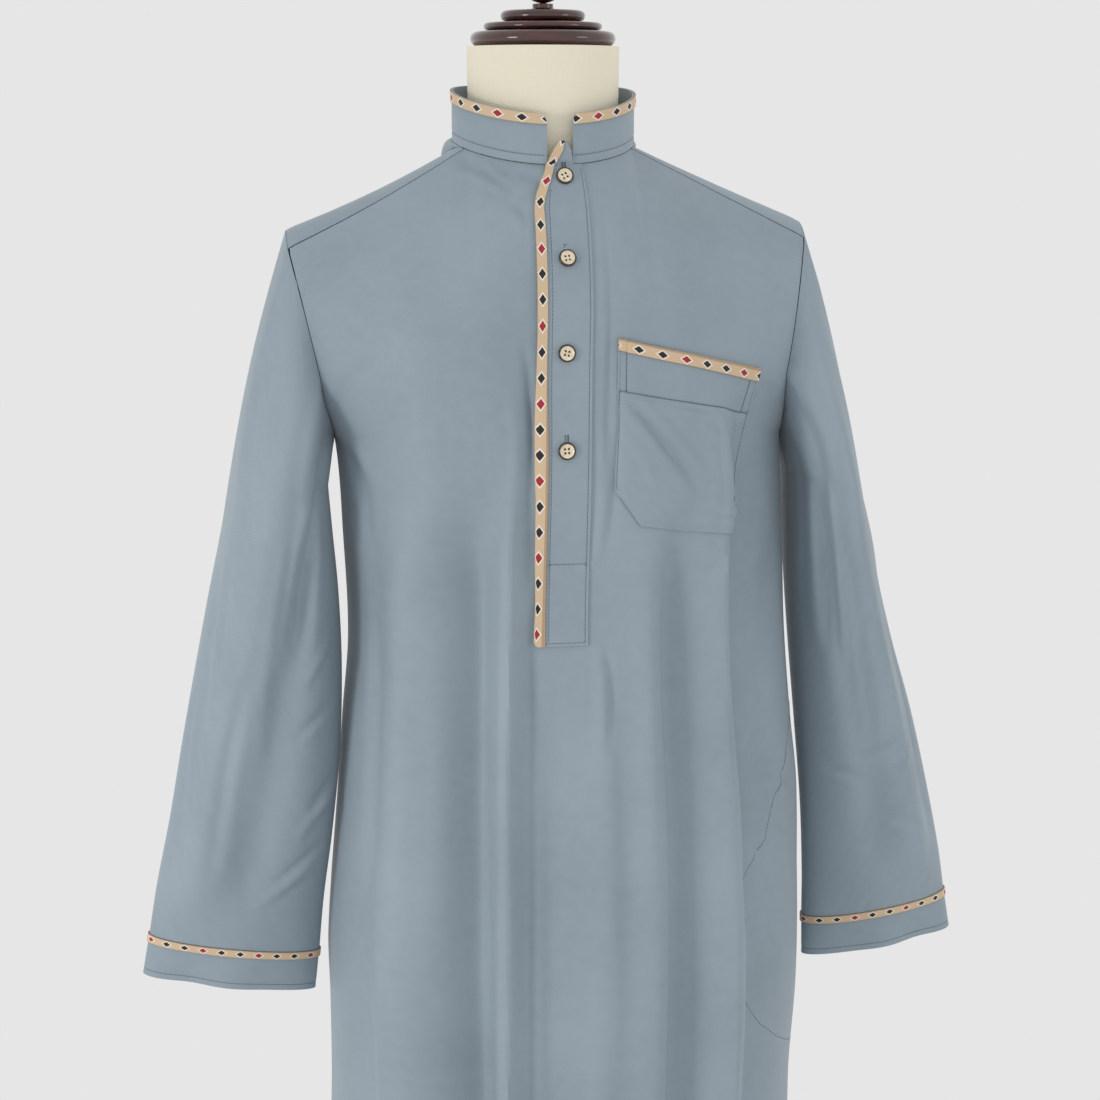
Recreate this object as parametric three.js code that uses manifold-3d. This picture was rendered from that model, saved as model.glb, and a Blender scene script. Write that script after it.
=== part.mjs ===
// A buttoned thobe that stands on a limbless dress form, in millimetres.
// +Z is up, +X is the wearer's left and the front faces -Y. The pole's axis is the Z axis, and the base's
// underside is at z = 0. Each cloth piece is a thin wall on a sheet of points: the sheet moved out along its
// normals and moved in, closed round its edges.

import * as THREE from "three";
import { mergeVertices } from "three/addons/utils/BufferGeometryUtils.js";
import Module from "manifold-3d";

const wasm = await Module();
wasm.setup();

// Cloth
const CLOTH = 1.2;
const TAPE = 1.0;
const LIFT = 0.35; // between a panel and what is sewn on it
const POCKET_LIFT = 0.8;
const SIDE_SEAM_GAP = 0.7;
const SHOULDER_SEAM_GAP = 1.0;
const SLEEVE_SEAM_GAP = 1.0;
const UNDERARM_GAP = 1.9;

// Body panels. Columns are counted in chest millimetres from the centre front, which the sections stretch.
const CHEST_HALF = 194;
const NECK_COLUMN = 71;
const HEM_Z = 120;
const ARMPIT_Z = 1272;

const BODY = [
  { z: 120, half: 222, front: 184, back: 182, drift: 4 },
  { z: 300, half: 214, front: 178, back: 175, drift: 8 },
  { z: 500, half: 206, front: 170, back: 165, drift: 12 },
  { z: 707, half: 201, front: 160, back: 155, drift: 15 },
  { z: 793, half: 204, front: 155, back: 150, drift: 18 },
  { z: 850, half: 205, front: 151, back: 146, drift: 18 },
  { z: 967, half: 200, front: 146, back: 140, drift: 22 },
  { z: 1034, half: 194, front: 142, back: 135, drift: 21 },
  { z: 1107, half: 188, front: 139, back: 132, drift: 21 },
  { z: 1190, half: 188, front: 135, back: 128, drift: 18 },
  { z: 1272, half: 189, front: 130, back: 123, drift: 13 },
  { z: 1313, half: 193, front: 128, back: 121, drift: 4 },
  { z: 1343, half: 195, front: 127, back: 120, drift: 1 },
  { z: 1377, half: 202, front: 125, back: 118, drift: -2 },
  { z: 1414, half: 213, front: 120, back: 114, drift: 0 },
  { z: 1442, half: 216, front: 110, back: 107, drift: 2 },
];

// Sideways lean of the centre front, from the button line.
const LEAN = [
  { z: 120, shift: 0 },
  { z: 843, shift: 0 },
  { z: 1110, shift: -7 },
  { z: 1270, shift: -3 },
  { z: 1348, shift: -2 },
  { z: 1426, shift: 0.5 },
  { z: 1510, shift: 3 },
];

// A section's depth falls from the centre to the side by these powers of its width share.
const ROUND_POWER = 2.5;
const FLAT_POWER = 2.6;

// Rows of the front: height at the centre and at the side edge, how far the edge lies in front of the seam,
// and how much of the section is flattened towards the armhole. A row falls from this column outwards.
const FRONT_FALL_COLUMN = 20;
const FRONT_ROWS = [
  { z: 120, edge: 120, forward: 0, flat: 0 },
  { z: 180, edge: 180, forward: 0, flat: 0 },
  { z: 250, edge: 250, forward: 0, flat: 0 },
  { z: 325, edge: 325, forward: 0, flat: 0 },
  { z: 400, edge: 400, forward: 0, flat: 0 },
  { z: 480, edge: 480, forward: 0, flat: 0 },
  { z: 560, edge: 560, forward: 0, flat: 0 },
  { z: 640, edge: 640, forward: 0, flat: 0 },
  { z: 715, edge: 715, forward: 0, flat: 0 },
  { z: 785, edge: 785, forward: 0, flat: 0 },
  { z: 850, edge: 850, forward: 0, flat: 0 },
  { z: 910, edge: 908, forward: 0, flat: 0 },
  { z: 965, edge: 960, forward: 0, flat: 0 },
  { z: 1015, edge: 1006, forward: 0, flat: 0 },
  { z: 1063, edge: 1050, forward: 0, flat: 0 },
  { z: 1118, edge: 1098, forward: 0, flat: 0 },
  { z: 1168, edge: 1144, forward: 0, flat: 0 },
  { z: 1219, edge: 1192, forward: 0, flat: 0 },
  { z: 1245, edge: 1217, forward: 0, flat: 0 },
  { z: 1272, edge: 1244, forward: 0, flat: 0 },
  { z: 1300, edge: 1272, forward: 0, flat: 0 },
  { z: 1313, edge: 1282, forward: 20, flat: 0.3 },
  { z: 1331, edge: 1294, forward: 36, flat: 0.6 },
  { z: 1359, edge: 1317, forward: 53, flat: 0.9 },
  { z: 1368, edge: 1327, forward: 57, flat: 1 },
];
const PLACKET_FIRST_ROW = 15;
const SLIT_FIRST_ROW = 17;
const POCKET_FIRST_ROW = 17;
const ARMPIT_ROW = 20;
const POCKET_TAPE_ROW = 23;
const CHEST_ROW = 24;
const FRONT_CHEST_RISE = [0.2, 0.4, 0.6, 0.8, 1];
const FRONT_CHEST_FALL = 1.7;

// Columns of the front. The flap and the pocket use these same lines.
const FRONT_COLUMNS = [
  -194, -190.5, -183, -172, -157, -140, -122, -104, -88, -73, -60, -50, -42, -33, -24.5, -14.5, -4,
  4, 12, 20.5, 31, 41, 62, 84, 106, 128, 148, 166, 180, 190, 194,
];
const FLAP_LEFT = FRONT_COLUMNS.indexOf(-24.5);
const FLAP_TAPE_RIGHT = FRONT_COLUMNS.indexOf(-14.5);
const SLIT_LEFT = FRONT_COLUMNS.indexOf(-4);
const FLAP_RIGHT = FRONT_COLUMNS.indexOf(20.5);
const POCKET_LEFT = FRONT_COLUMNS.indexOf(41);
const POCKET_RIGHT = FRONT_COLUMNS.indexOf(166);

// The flap narrows to a point as it climbs to the neck: share of each column's offset left at the neckline,
// on its free side and its sewn side. Columns beyond its reach stay.
const FLAP_TAPER_START = 1462;
const FLAP_TAPER = 0.5;
const FLAP_TAPER_SEWN = 0.9;
const FLAP_REACH = 30;

// Folds of a panel: chest column at the top and at the hem, half width, how far out the cloth stands (in when
// negative), how far its sides are drawn sideways, and the heights between which it fades.
const FRONT_FOLDS = [
  { top: -33, hem: -48, width: 8, out: -7, side: 0, from: 1180, to: 1370 },
  { top: -43, hem: -71, width: 13, out: 13, side: 0, from: 60, to: 1290 },
  { top: -28, hem: -56, width: 9, out: -8, side: 0, from: 60, to: 1180 },
  { top: -86, hem: -92, width: 25, out: -23, side: 0, from: 60, to: 1260 },
  { top: -142, hem: -134, width: 22, out: 11, side: 0, from: 60, to: 1260 },
  { top: -6, hem: -24, width: 16, out: -6, side: 0, from: 60, to: 1130 },
  { top: 34, hem: 12, width: 12, out: 6, side: 0, from: 60, to: 1130 },
  { top: 70, hem: 48, width: 16, out: 6, side: 0, from: 60, to: 1220 },
  { top: 100, hem: 78, width: 17, out: -17, side: 0, from: 60, to: 1250 },
  { top: 126, hem: 112, width: 14, out: 12, side: 0, from: 60, to: 1330 },
  { top: 152, hem: 146, width: 16, out: -10, side: -4, from: 60, to: 1340 },
  { top: 168, hem: 168, width: 24, out: 0, side: -30, from: 900, to: 1350 },
  { top: -120, hem: -120, width: 22, out: 4, side: 0, from: 1180, to: 1500 },
  { top: 96, hem: 120, width: 20, out: 3, side: 0, from: 1230, to: 1500 },
];
const BACK_FOLDS = [
  { top: 0, hem: 14, width: 24, out: -8, side: 0, from: 60, to: 1280 },
  { top: 46, hem: 62, width: 18, out: 8, side: 0, from: 60, to: 1240 },
  { top: 92, hem: 108, width: 20, out: -8, side: 0, from: 60, to: 1330 },
  { top: 140, hem: 150, width: 18, out: 6, side: 0, from: 60, to: 1200 },
  { top: -52, hem: -44, width: 18, out: 9, side: 0, from: 60, to: 1300 },
  { top: -98, hem: -92, width: 22, out: -9, side: 0, from: 60, to: 1210 },
  { top: -146, hem: -140, width: 18, out: 6, side: 0, from: 60, to: 1320 },
];
const FOLD_FADE = 110;
const FOLD_HEM_GAIN = 0.5; // folds deepen by this share from the chest to the hem

// Back panel
const BACK_COLUMNS = [
  194, 189, 179, 164, 146, 127, 108, 90, 71, 55, 38, 20, 0, -20, -38, -55, -71, -90, -108, -127,
  -146, -164, -179, -189, -194,
];
const BACK_ROWS = [
  { z: 120, forward: 0, flat: 0 },
  { z: 215, forward: 0, flat: 0 },
  { z: 320, forward: 0, flat: 0 },
  { z: 430, forward: 0, flat: 0 },
  { z: 540, forward: 0, flat: 0 },
  { z: 650, forward: 0, flat: 0 },
  { z: 755, forward: 0, flat: 0 },
  { z: 850, forward: 0, flat: 0 },
  { z: 940, forward: 0, flat: 0 },
  { z: 1025, forward: 0, flat: 0 },
  { z: 1107, forward: 0, flat: 0 },
  { z: 1190, forward: 0, flat: 0 },
  { z: 1272, forward: 0, flat: 0 },
  { z: 1285, forward: 26, flat: 0.4 },
  { z: 1303, forward: 50, flat: 0.8 },
  { z: 1325, forward: 66, flat: 1 },
];
const BACK_ARMPIT_ROW = 12;
const BACK_RISE = [0.18, 0.36, 0.52, 0.66, 0.78, 0.89, 1];
// The back leaves the shoulder seam outwards, backwards and up by these, at the neck and at the tip.
const BACK_SHOULDER_NECK = { out: 13, back: 38, up: 13 };
const BACK_SHOULDER_TIP = { out: 2, back: 46, up: 46 };
// It leaves the neck opening outwards and down behind, and backwards and up at the seam.
const BACK_NECK = { out: 16, down: 18, back: 40, up: 10 };
const BACK_STEEP = 0.72; // share of its rise that the back makes before it turns over the shoulder
const BACK_DRAW = 0.35;

// Neck opening: half width, depth in front of and behind the axis, and its height all round.
const NECK = { half: 75, front: 69, back: 66, mean: 1513.3, tilt: 12, dip: 3.2 };
const SHOULDER_SEAM_ANGLE = 67; // degrees from centre front where the shoulder seam meets the neck
const SHOULDER_TIP = {
  right: { x: -214, y: -25, z: 1431, sag: 3 },
  left: { x: 218, y: -25, z: 1437, sag: 0 },
};

// Collar
const COLLAR_HEIGHT = 40;
const COLLAR_SEAM_GAP = 1.1;
const COLLAR_HALF_GAP = 10.5;
const COLLAR_GAP_SHIFT = 2.4;
const COLLAR_TAPE = 8.5;
const COLLAR_CORNER = 6;
const COLLAR_STEPS = 30;
const COLLAR_END_STEPS = [0, 0.035, 0.08, 0.13, 0.19]; // radians from an end, closer together
const COLLAR_LOW_ROW = 0.4; // share of its height

// Sleeves, from the armpit down: height, outer and inner edge from the axis, forward shift of the middle,
// half depth, and slope of the ring, which rises outwards.
const SLEEVE_RIGHT = [
  { z: 1238, outer: 264, inner: 184, forward: 6, deep: 84, slope: 0 },
  { z: 1200, outer: 271, inner: 181, forward: 12, deep: 76, slope: 0.01 },
  { z: 1150, outer: 282, inner: 177, forward: 18, deep: 67, slope: 0.03 },
  { z: 1090, outer: 294, inner: 175, forward: 20, deep: 59, slope: 0.05 },
  { z: 1020, outer: 307, inner: 177, forward: 18, deep: 51, slope: 0.08 },
  { z: 950, outer: 319, inner: 184, forward: 14, deep: 42, slope: 0.11 },
  { z: 890, outer: 331, inner: 192, forward: 10, deep: 34, slope: 0.13 },
  { z: 847, outer: 338, inner: 196, forward: 8, deep: 28, slope: 0.14 },
];
const SLEEVE_LEFT = [
  { z: 1238, outer: 266, inner: 212, forward: 4, deep: 86, slope: 0 },
  { z: 1200, outer: 276, inner: 213, forward: 4, deep: 82, slope: 0.01 },
  { z: 1150, outer: 289, inner: 215, forward: 2, deep: 75, slope: 0.03 },
  { z: 1090, outer: 305, inner: 219, forward: 0, deep: 66, slope: 0.06 },
  { z: 1020, outer: 326, inner: 225, forward: -2, deep: 55, slope: 0.09 },
  { z: 950, outer: 343, inner: 231, forward: -3, deep: 45, slope: 0.12 },
  { z: 890, outer: 355, inner: 233, forward: -2, deep: 35, slope: 0.14 },
  { z: 851, outer: 361, inner: 233, forward: -2, deep: 29, slope: 0.15 },
];
const SLEEVE_STEPS = 28;
const SLEEVE_CAP_RINGS = 6;
const SLEEVE_HANG_RINGS = 12;
const SLEEVE_CAP_BULGE = 9;
const SLEEVE_TOP_SHARE = 0.7; // of the seam gap, across and down, where the sleeve meets the shoulder
const CUFF_LENGTH = 36;
const CUFF_TAPE = 6.5;
const CUFF_SEAM_GAP = 0.4;
const CUFF_ROWS = [CUFF_SEAM_GAP, CUFF_TAPE, 22, CUFF_LENGTH];
// Folds of a sleeve: angle from the inner side by way of the front at the armpit and at the cuff, half width
// in degrees, how far out, and the heights between which it fades.
const SLEEVE_FOLDS = [
  { top: 62, cuff: 95, width: 16, out: -6, from: 860, to: 1230 },
  { top: 100, cuff: 125, width: 16, out: 5, from: 850, to: 1300 },
  { top: 150, cuff: 152, width: 13, out: -4, from: 880, to: 1180 },
  { top: 240, cuff: 232, width: 18, out: -6, from: 870, to: 1240 },
  { top: 290, cuff: 285, width: 16, out: 4, from: 860, to: 1180 },
];
const SLEEVE_FOLD_FADE = 60;

// Buttons on the flap
const BUTTON_RADIUS = 7.2;
const BUTTON_THICK = 2.6;
const BUTTON_LIFT = 0.7;
const BUTTON_HOLE_RADIUS = 0.9;
const BUTTON_HOLE_PITCH = 2.9;
const BUTTON_STEPS = 20;
const FRONT_CLEAR = 400; // well in front of the body
const BUTTON_OUTLINE = [
  { radius: 0, z: 0 },
  { radius: BUTTON_RADIUS - 1.2, z: 0 },
  { radius: BUTTON_RADIUS, z: 0.9 },
  { radius: BUTTON_RADIUS, z: BUTTON_THICK - 0.6 },
  { radius: BUTTON_RADIUS - 0.8, z: BUTTON_THICK },
  { radius: BUTTON_RADIUS - 1.8, z: BUTTON_THICK },
  { radius: BUTTON_RADIUS - 2.6, z: BUTTON_THICK - 0.7 },
  { radius: 0, z: BUTTON_THICK - 0.7 },
];
const BUTTONS = [
  { name: "button_1", x: 4.5, z: 1489 },
  { name: "button_2", x: 0.5, z: 1425.5 },
  { name: "button_3", x: -2.5, z: 1352 },
  { name: "button_4", x: -3, z: 1274.5 },
];

// Dress form: horizontal sections, half width and depth before and behind its axis.
const FORM = [
  { z: 800, half: 150, front: 100, back: 104 },
  { z: 812, half: 163, front: 108, back: 112 },
  { z: 860, half: 168, front: 112, back: 118 },
  { z: 930, half: 167, front: 112, back: 118 },
  { z: 1010, half: 158, front: 106, back: 110 },
  { z: 1090, half: 148, front: 102, back: 102 },
  { z: 1160, half: 150, front: 106, back: 104 },
  { z: 1230, half: 160, front: 114, back: 106 },
  { z: 1300, half: 166, front: 118, back: 107 },
  { z: 1350, half: 168, front: 113, back: 103 },
  { z: 1390, half: 173, front: 100, back: 96 },
  { z: 1420, half: 179, front: 87, back: 84 },
  { z: 1440, half: 178, front: 77, back: 74 },
  { z: 1455, half: 164, front: 69, back: 63 },
  { z: 1470, half: 139, front: 64, back: 56 },
  { z: 1485, half: 108, front: 61, back: 54 },
  { z: 1498, half: 80, front: 60, back: 54 },
  { z: 1510, half: 67, front: 59, back: 57 },
  { z: 1524, half: 63, front: 59, back: 59 },
  { z: 1594, half: 63, front: 59, back: 59 },
];
const FORM_STEPS = 28;
const FORM_SOCKET = 0.3; // the cap and the pole meet the form this far from its flat ends

// Turned cap over the neck: rounded discs by radius, foot above the neck and height, and the knob's stem.
const CAP_BEADS = [
  { radius: 60, foot: 0, high: 12 },
  { radius: 49, foot: 13, high: 6 },
  { radius: 35, foot: 20, high: 9 },
];
const CAP_STEM = { radius: 9, from: 30, to: 34 };
const CAP_KNOB = { radius: 16, foot: 35, high: 28 };
const CAP_STEPS = 26;
const BEAD_STEPS = 5;

const BASE_SOCKET_HEIGHT = 46;
const POLE_OUTLINE = [
  { radius: 0, z: BASE_SOCKET_HEIGHT + FORM_SOCKET },
  { radius: 16, z: BASE_SOCKET_HEIGHT + FORM_SOCKET },
  { radius: 16, z: 786 },
  { radius: 26, z: 788 },
  { radius: 26, z: FORM[0].z - FORM_SOCKET },
  { radius: 0, z: FORM[0].z - FORM_SOCKET },
];
const POLE_STEPS = 28;
const BASE_OUTLINE = [
  { radius: 0, z: 0 },
  { radius: 162, z: 0 },
  { radius: 165, z: 3 },
  { radius: 165, z: 14 },
  { radius: 157, z: 22 },
  { radius: 34, z: 28 },
  { radius: 26, z: 34 },
  { radius: 24, z: BASE_SOCKET_HEIGHT },
  { radius: 0, z: BASE_SOCKET_HEIGHT },
];
const BASE_STEPS = 40;

// Materials
const materials = {
  cloth: new THREE.MeshStandardMaterial({ color: 0x8b9aa4, roughness: 0.82, metalness: 0 }),
  tape: new THREE.MeshStandardMaterial({ color: 0xd2b897, roughness: 0.85, metalness: 0 }),
  button: new THREE.MeshStandardMaterial({ color: 0xd8c8a8, roughness: 0.25, metalness: 0 }),
  linen: new THREE.MeshStandardMaterial({ color: 0xd9d0b4, roughness: 0.9, metalness: 0 }),
  wood: new THREE.MeshStandardMaterial({ color: 0x4a1f16, roughness: 0.3, metalness: 0 }),
  metal: new THREE.MeshStandardMaterial({ color: 0x2a2a2c, roughness: 0.45, metalness: 0.6 }),
};

// Numbers

function mix(a, b, t) {
  return a + (b - a) * t;
}

function ramp(from, to, value) {
  const t = Math.min(1, Math.max(0, (value - from) / (to - from)));
  return t * t * (3 - 2 * t);
}

// A column of a table at height z, by a cubic through its rows.
function at(table, field, z) {
  const rising = table[0].z < table[table.length - 1].z;
  const rows = rising ? table : [...table].reverse();
  const height = Math.min(rows[rows.length - 1].z, Math.max(rows[0].z, z));
  let i = 0;
  while (i < rows.length - 2 && rows[i + 1].z < height) i += 1;
  const slope = (j) => {
    const before = rows[Math.max(0, j - 1)];
    const after = rows[Math.min(rows.length - 1, j + 1)];
    return (after[field] - before[field]) / (after.z - before.z);
  };
  const step = rows[i + 1].z - rows[i].z;
  const t = (height - rows[i].z) / step;
  const start = rows[i][field];
  const end = rows[i + 1][field];
  const startWeight = (1 + 2 * t) * (1 - t) * (1 - t);
  const endWeight = t * t * (3 - 2 * t);
  const startSlope = t * (1 - t) * (1 - t) * step * slope(i);
  const endSlope = t * t * (t - 1) * step * slope(i + 1);
  return start * startWeight + end * endWeight + startSlope + endSlope;
}

// Sheets

// A grid of points with faces for each cell that keep(row, column) allows. It answers 0 for none and 1 for
// both triangles. "first" or "second" keeps one of them, which cuts off a corner.
function gridSheet(rows, { closed = false, flip = false, keep = () => 1, diagonal = () => "ac" } = {}) {
  const across = rows[0].length;
  const points = rows.flat();
  const faces = [];
  const cells = closed ? across : across - 1;
  for (let r = 0; r < rows.length - 1; r += 1) {
    for (let c = 0; c < cells; c += 1) {
      const kept = keep(r, c);
      if (!kept) continue;
      const a = r * across + c;
      const b = r * across + ((c + 1) % across);
      const d = a + across;
      const e = b + across;
      const pair = diagonal(r, c) === "ac" ? [[a, b, e], [a, e, d]] : [[b, e, d], [a, b, d]];
      if (kept === "first") pair.length = 1;
      if (kept === "second") pair.shift();
      for (const face of pair) faces.push(flip ? [...face].reverse() : face);
    }
  }
  return { points, faces, normals: normalsOf(points, faces), across };
}

function normalsOf(points, faces) {
  const normals = points.map(() => new THREE.Vector3());
  const ab = new THREE.Vector3();
  const ac = new THREE.Vector3();
  for (const [a, b, c] of faces) {
    ab.subVectors(points[b], points[a]);
    ac.subVectors(points[c], points[a]);
    const area = ab.cross(ac);
    for (const i of [a, b, c]) normals[i].add(area);
  }
  for (const n of normals) n.normalize();
  return normals;
}

// The same points and normals with only the faces of one piece that lies on the sheet.
function pieceOf(sheet, rowFrom, rowTo, columnFrom, columnTo, keep = () => 1) {
  const faces = [];
  for (let r = rowFrom; r < rowTo; r += 1) {
    for (let c = columnFrom; c < columnTo; c += 1) {
      const kept = keep(r, c);
      if (!kept) continue;
      const a = r * sheet.across + c;
      const pair = frontDiagonal(r, c) === "ac"
        ? [[a, a + 1, a + 1 + sheet.across], [a, a + 1 + sheet.across, a + sheet.across]]
        : [[a + 1, a + 1 + sheet.across, a + sheet.across], [a, a + 1, a + sheet.across]];
      if (kept === "first") pair.length = 1;
      if (kept === "second") pair.shift();
      faces.push(...pair);
    }
  }
  return { points: sheet.points, normals: sheet.normals, faces, across: sheet.across };
}

// The closed wall between the sheet moved out by `inner` and by `outer`.
function wall(sheet, inner, outer) {
  const used = [...new Set(sheet.faces.flat())];
  const place = new Map(used.map((index, i) => [index, i]));
  const positions = new Float32Array(used.length * 6);
  used.forEach((index, i) => {
    const point = sheet.points[index];
    const normal = sheet.normals[index];
    const inside = point.clone().addScaledVector(normal, inner);
    const outside = point.clone().addScaledVector(normal, outer);
    outside.toArray(positions, i * 3);
    inside.toArray(positions, (i + used.length) * 3);
  });
  const index = [];
  const edges = new Set();
  for (const face of sheet.faces) {
    const [a, b, c] = face.map((v) => place.get(v));
    index.push(a, b, c, a + used.length, c + used.length, b + used.length);
    edges.add(a + ":" + b).add(b + ":" + c).add(c + ":" + a);
  }
  for (const edge of edges) {
    const [a, b] = edge.split(":").map(Number);
    if (edges.has(b + ":" + a)) continue;
    index.push(b, a, a + used.length, b, a + used.length, b + used.length);
  }
  const geometry = new THREE.BufferGeometry();
  geometry.setAttribute("position", new THREE.BufferAttribute(positions, 3));
  geometry.setIndex(index);
  geometry.computeVertexNormals();
  return geometry;
}

const group = new THREE.Group();

function add(name, geometry, material) {
  const mesh = new THREE.Mesh(geometry, material.clone());
  mesh.name = name;
  group.add(mesh);
  return mesh;
}

// Body surfaces

// How far forward a section reaches at a share r of its half width: round at the side, or flat near the arm.
function sectionDepth(r, flat) {
  const share = Math.min(1, Math.abs(r));
  const round = Math.sqrt(1 - share ** ROUND_POWER);
  const shallow = 1 - share ** FLAT_POWER;
  return mix(round, shallow, flat);
}

function foldShift(folds, column, z) {
  const down = 1 - (z - HEM_Z) / (ARMPIT_Z - HEM_Z);
  const shift = { out: 0, side: 0 };
  for (const fold of folds) {
    const centre = mix(fold.top, fold.hem, down);
    const reach = (column - centre) / fold.width;
    const fade = ramp(fold.to, fold.to - FOLD_FADE, z) * ramp(fold.from - 1, fold.from, z);
    const gain = 1 + FOLD_HEM_GAIN * Math.max(0, down);
    const strength = Math.exp(-reach * reach) * fade * gain;
    shift.out += fold.out * strength;
    shift.side += fold.side * strength;
  }
  const seam = 1 - (Math.abs(column) / CHEST_HALF) ** 6; // folds die out at the side seam
  shift.out *= seam;
  shift.side *= seam;
  return shift;
}

function neckHeight(angle) {
  return NECK.mean - NECK.tilt * Math.cos(angle) - NECK.dip * Math.cos(2 * angle);
}

// A point on the neck opening, by its angle from centre front towards +X.
function neckPoint(angle) {
  const depth = Math.cos(angle) > 0 ? NECK.front : NECK.back;
  return new THREE.Vector3(NECK.half * Math.sin(angle), -depth * Math.cos(angle), neckHeight(angle));
}

// The shoulder seam from the neck (share 0) to the tip (share 1), on side +1 or -1.
function shoulderSeam(share, side) {
  const neck = neckPoint(side * THREE.MathUtils.degToRad(SHOULDER_SEAM_ANGLE));
  const tip = side < 0 ? SHOULDER_TIP.right : SHOULDER_TIP.left;
  const point = neck.lerp(new THREE.Vector3(tip.x, tip.y, tip.z), share);
  point.z -= tip.sag * Math.sin(Math.PI * share);
  return point;
}

function outwardInPlan(column) {
  const angle = (column / CHEST_HALF) * (Math.PI / 2);
  return new THREE.Vector3(Math.sin(angle), -Math.cos(angle), 0);
}

// Front panel

function flapNarrowing(column, z) {
  if (Math.abs(column) > FLAP_REACH) return column;
  const t = ramp(FLAP_TAPER_START, NECK.mean - NECK.tilt, z);
  const wing = mix(1, column < 0 ? FLAP_TAPER : FLAP_TAPER_SEWN, t);
  return column * wing;
}

function frontBodyPoint(row, column) {
  const share = Math.max(0, (Math.abs(column) - FRONT_FALL_COLUMN) / (CHEST_HALF - FRONT_FALL_COLUMN));
  const z = mix(row.z, row.edge, share);
  const r = column / CHEST_HALF;
  const half = at(BODY, "half", row.flat > 0 ? mix(z, row.edge, row.flat) : z);
  const inner = Math.min(NECK_COLUMN, Math.abs(column));
  const outer = Math.max(0, Math.abs(column) - NECK_COLUMN) / (CHEST_HALF - NECK_COLUMN);
  const spread = inner + outer * (half - NECK_COLUMN);
  const stretched = mix((Math.abs(column) * half) / CHEST_HALF, spread, row.flat);
  const depth = at(BODY, "front", z);
  const fold = foldShift(FRONT_FOLDS, column, z);
  const away = outwardInPlan(column);
  const x = Math.sign(column) * stretched + at(BODY, "drift", z) * r * r + at(LEAN, "shift", z) * (1 - r * r);
  const y = -(row.forward + (depth - row.forward) * sectionDepth(r, row.flat));
  return new THREE.Vector3(x + fold.side + away.x * fold.out, y + away.y * fold.out, z);
}

function frontTopPoint(column) {
  const side = Math.sign(column);
  if (Math.abs(column) > NECK_COLUMN) {
    return shoulderSeam((Math.abs(column) - NECK_COLUMN) / (CHEST_HALF - NECK_COLUMN), side);
  }
  const corner = Math.sin(THREE.MathUtils.degToRad(SHOULDER_SEAM_ANGLE)) * NECK.half;
  const narrowed = flapNarrowing(column, NECK.mean);
  const lean = at(LEAN, "shift", NECK.mean) * (1 - (column / NECK_COLUMN) ** 2);
  const x = (narrowed / NECK_COLUMN) * corner + lean;
  return neckPoint(Math.asin(x / NECK.half));
}

function frontChestPoint(column, rise) {
  const low = frontBodyPoint(FRONT_ROWS[CHEST_ROW], column);
  const top = frontTopPoint(column);
  const z = mix(low.z, top.z, rise);
  const across = mix(low.x, top.x, rise);
  const narrowed = flapNarrowing(column, z) - column;
  const narrowedTop = (flapNarrowing(column, NECK.mean) - column) * rise;
  const y = mix(top.y, low.y, 1 - rise ** FRONT_CHEST_FALL);
  const fold = foldShift(FRONT_FOLDS, column, z);
  const still = 1 - rise;
  return new THREE.Vector3(across + narrowed - narrowedTop, y - fold.out * still, z);
}

function frontRows() {
  const rows = FRONT_ROWS.map((row) => FRONT_COLUMNS.map((column) => frontBodyPoint(row, column)));
  for (const rise of FRONT_CHEST_RISE) {
    rows.push(FRONT_COLUMNS.map((column) => frontChestPoint(column, rise)));
  }
  rows.forEach((points, r) => {
    if (r > ARMPIT_ROW) return;
    points[0].y -= SIDE_SEAM_GAP / 2;
    points[points.length - 1].y -= SIDE_SEAM_GAP / 2;
  });
  return rows;
}

const FRONT_MIDDLE = Math.round((POCKET_LEFT + POCKET_RIGHT) / 2);

function frontDiagonal(r, c) {
  return c >= FRONT_MIDDLE ? "ac" : "bd";
}

function inSlit(r, c) {
  return c === SLIT_LEFT && r >= SLIT_FIRST_ROW;
}

const frontGrid = frontRows();
const frontSheet = gridSheet(frontGrid, {
  keep: (r, c) => (inSlit(r, c) ? 0 : 1),
  diagonal: frontDiagonal,
});
add("front", wall(frontSheet, -CLOTH / 2, CLOTH / 2), materials.cloth);

// Back panel

function backBodyPoint(row, column) {
  const r = column / CHEST_HALF;
  const half = at(BODY, "half", row.z);
  const fold = foldShift(BACK_FOLDS, column, row.z);
  const away = outwardInPlan(column);
  const x = (column * half) / CHEST_HALF + at(BODY, "drift", row.z);
  const y = row.forward + (at(BODY, "back", row.z) - row.forward) * sectionDepth(r, row.flat);
  return new THREE.Vector3(x + away.x * fold.out, y - away.y * fold.out, row.z);
}

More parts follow.
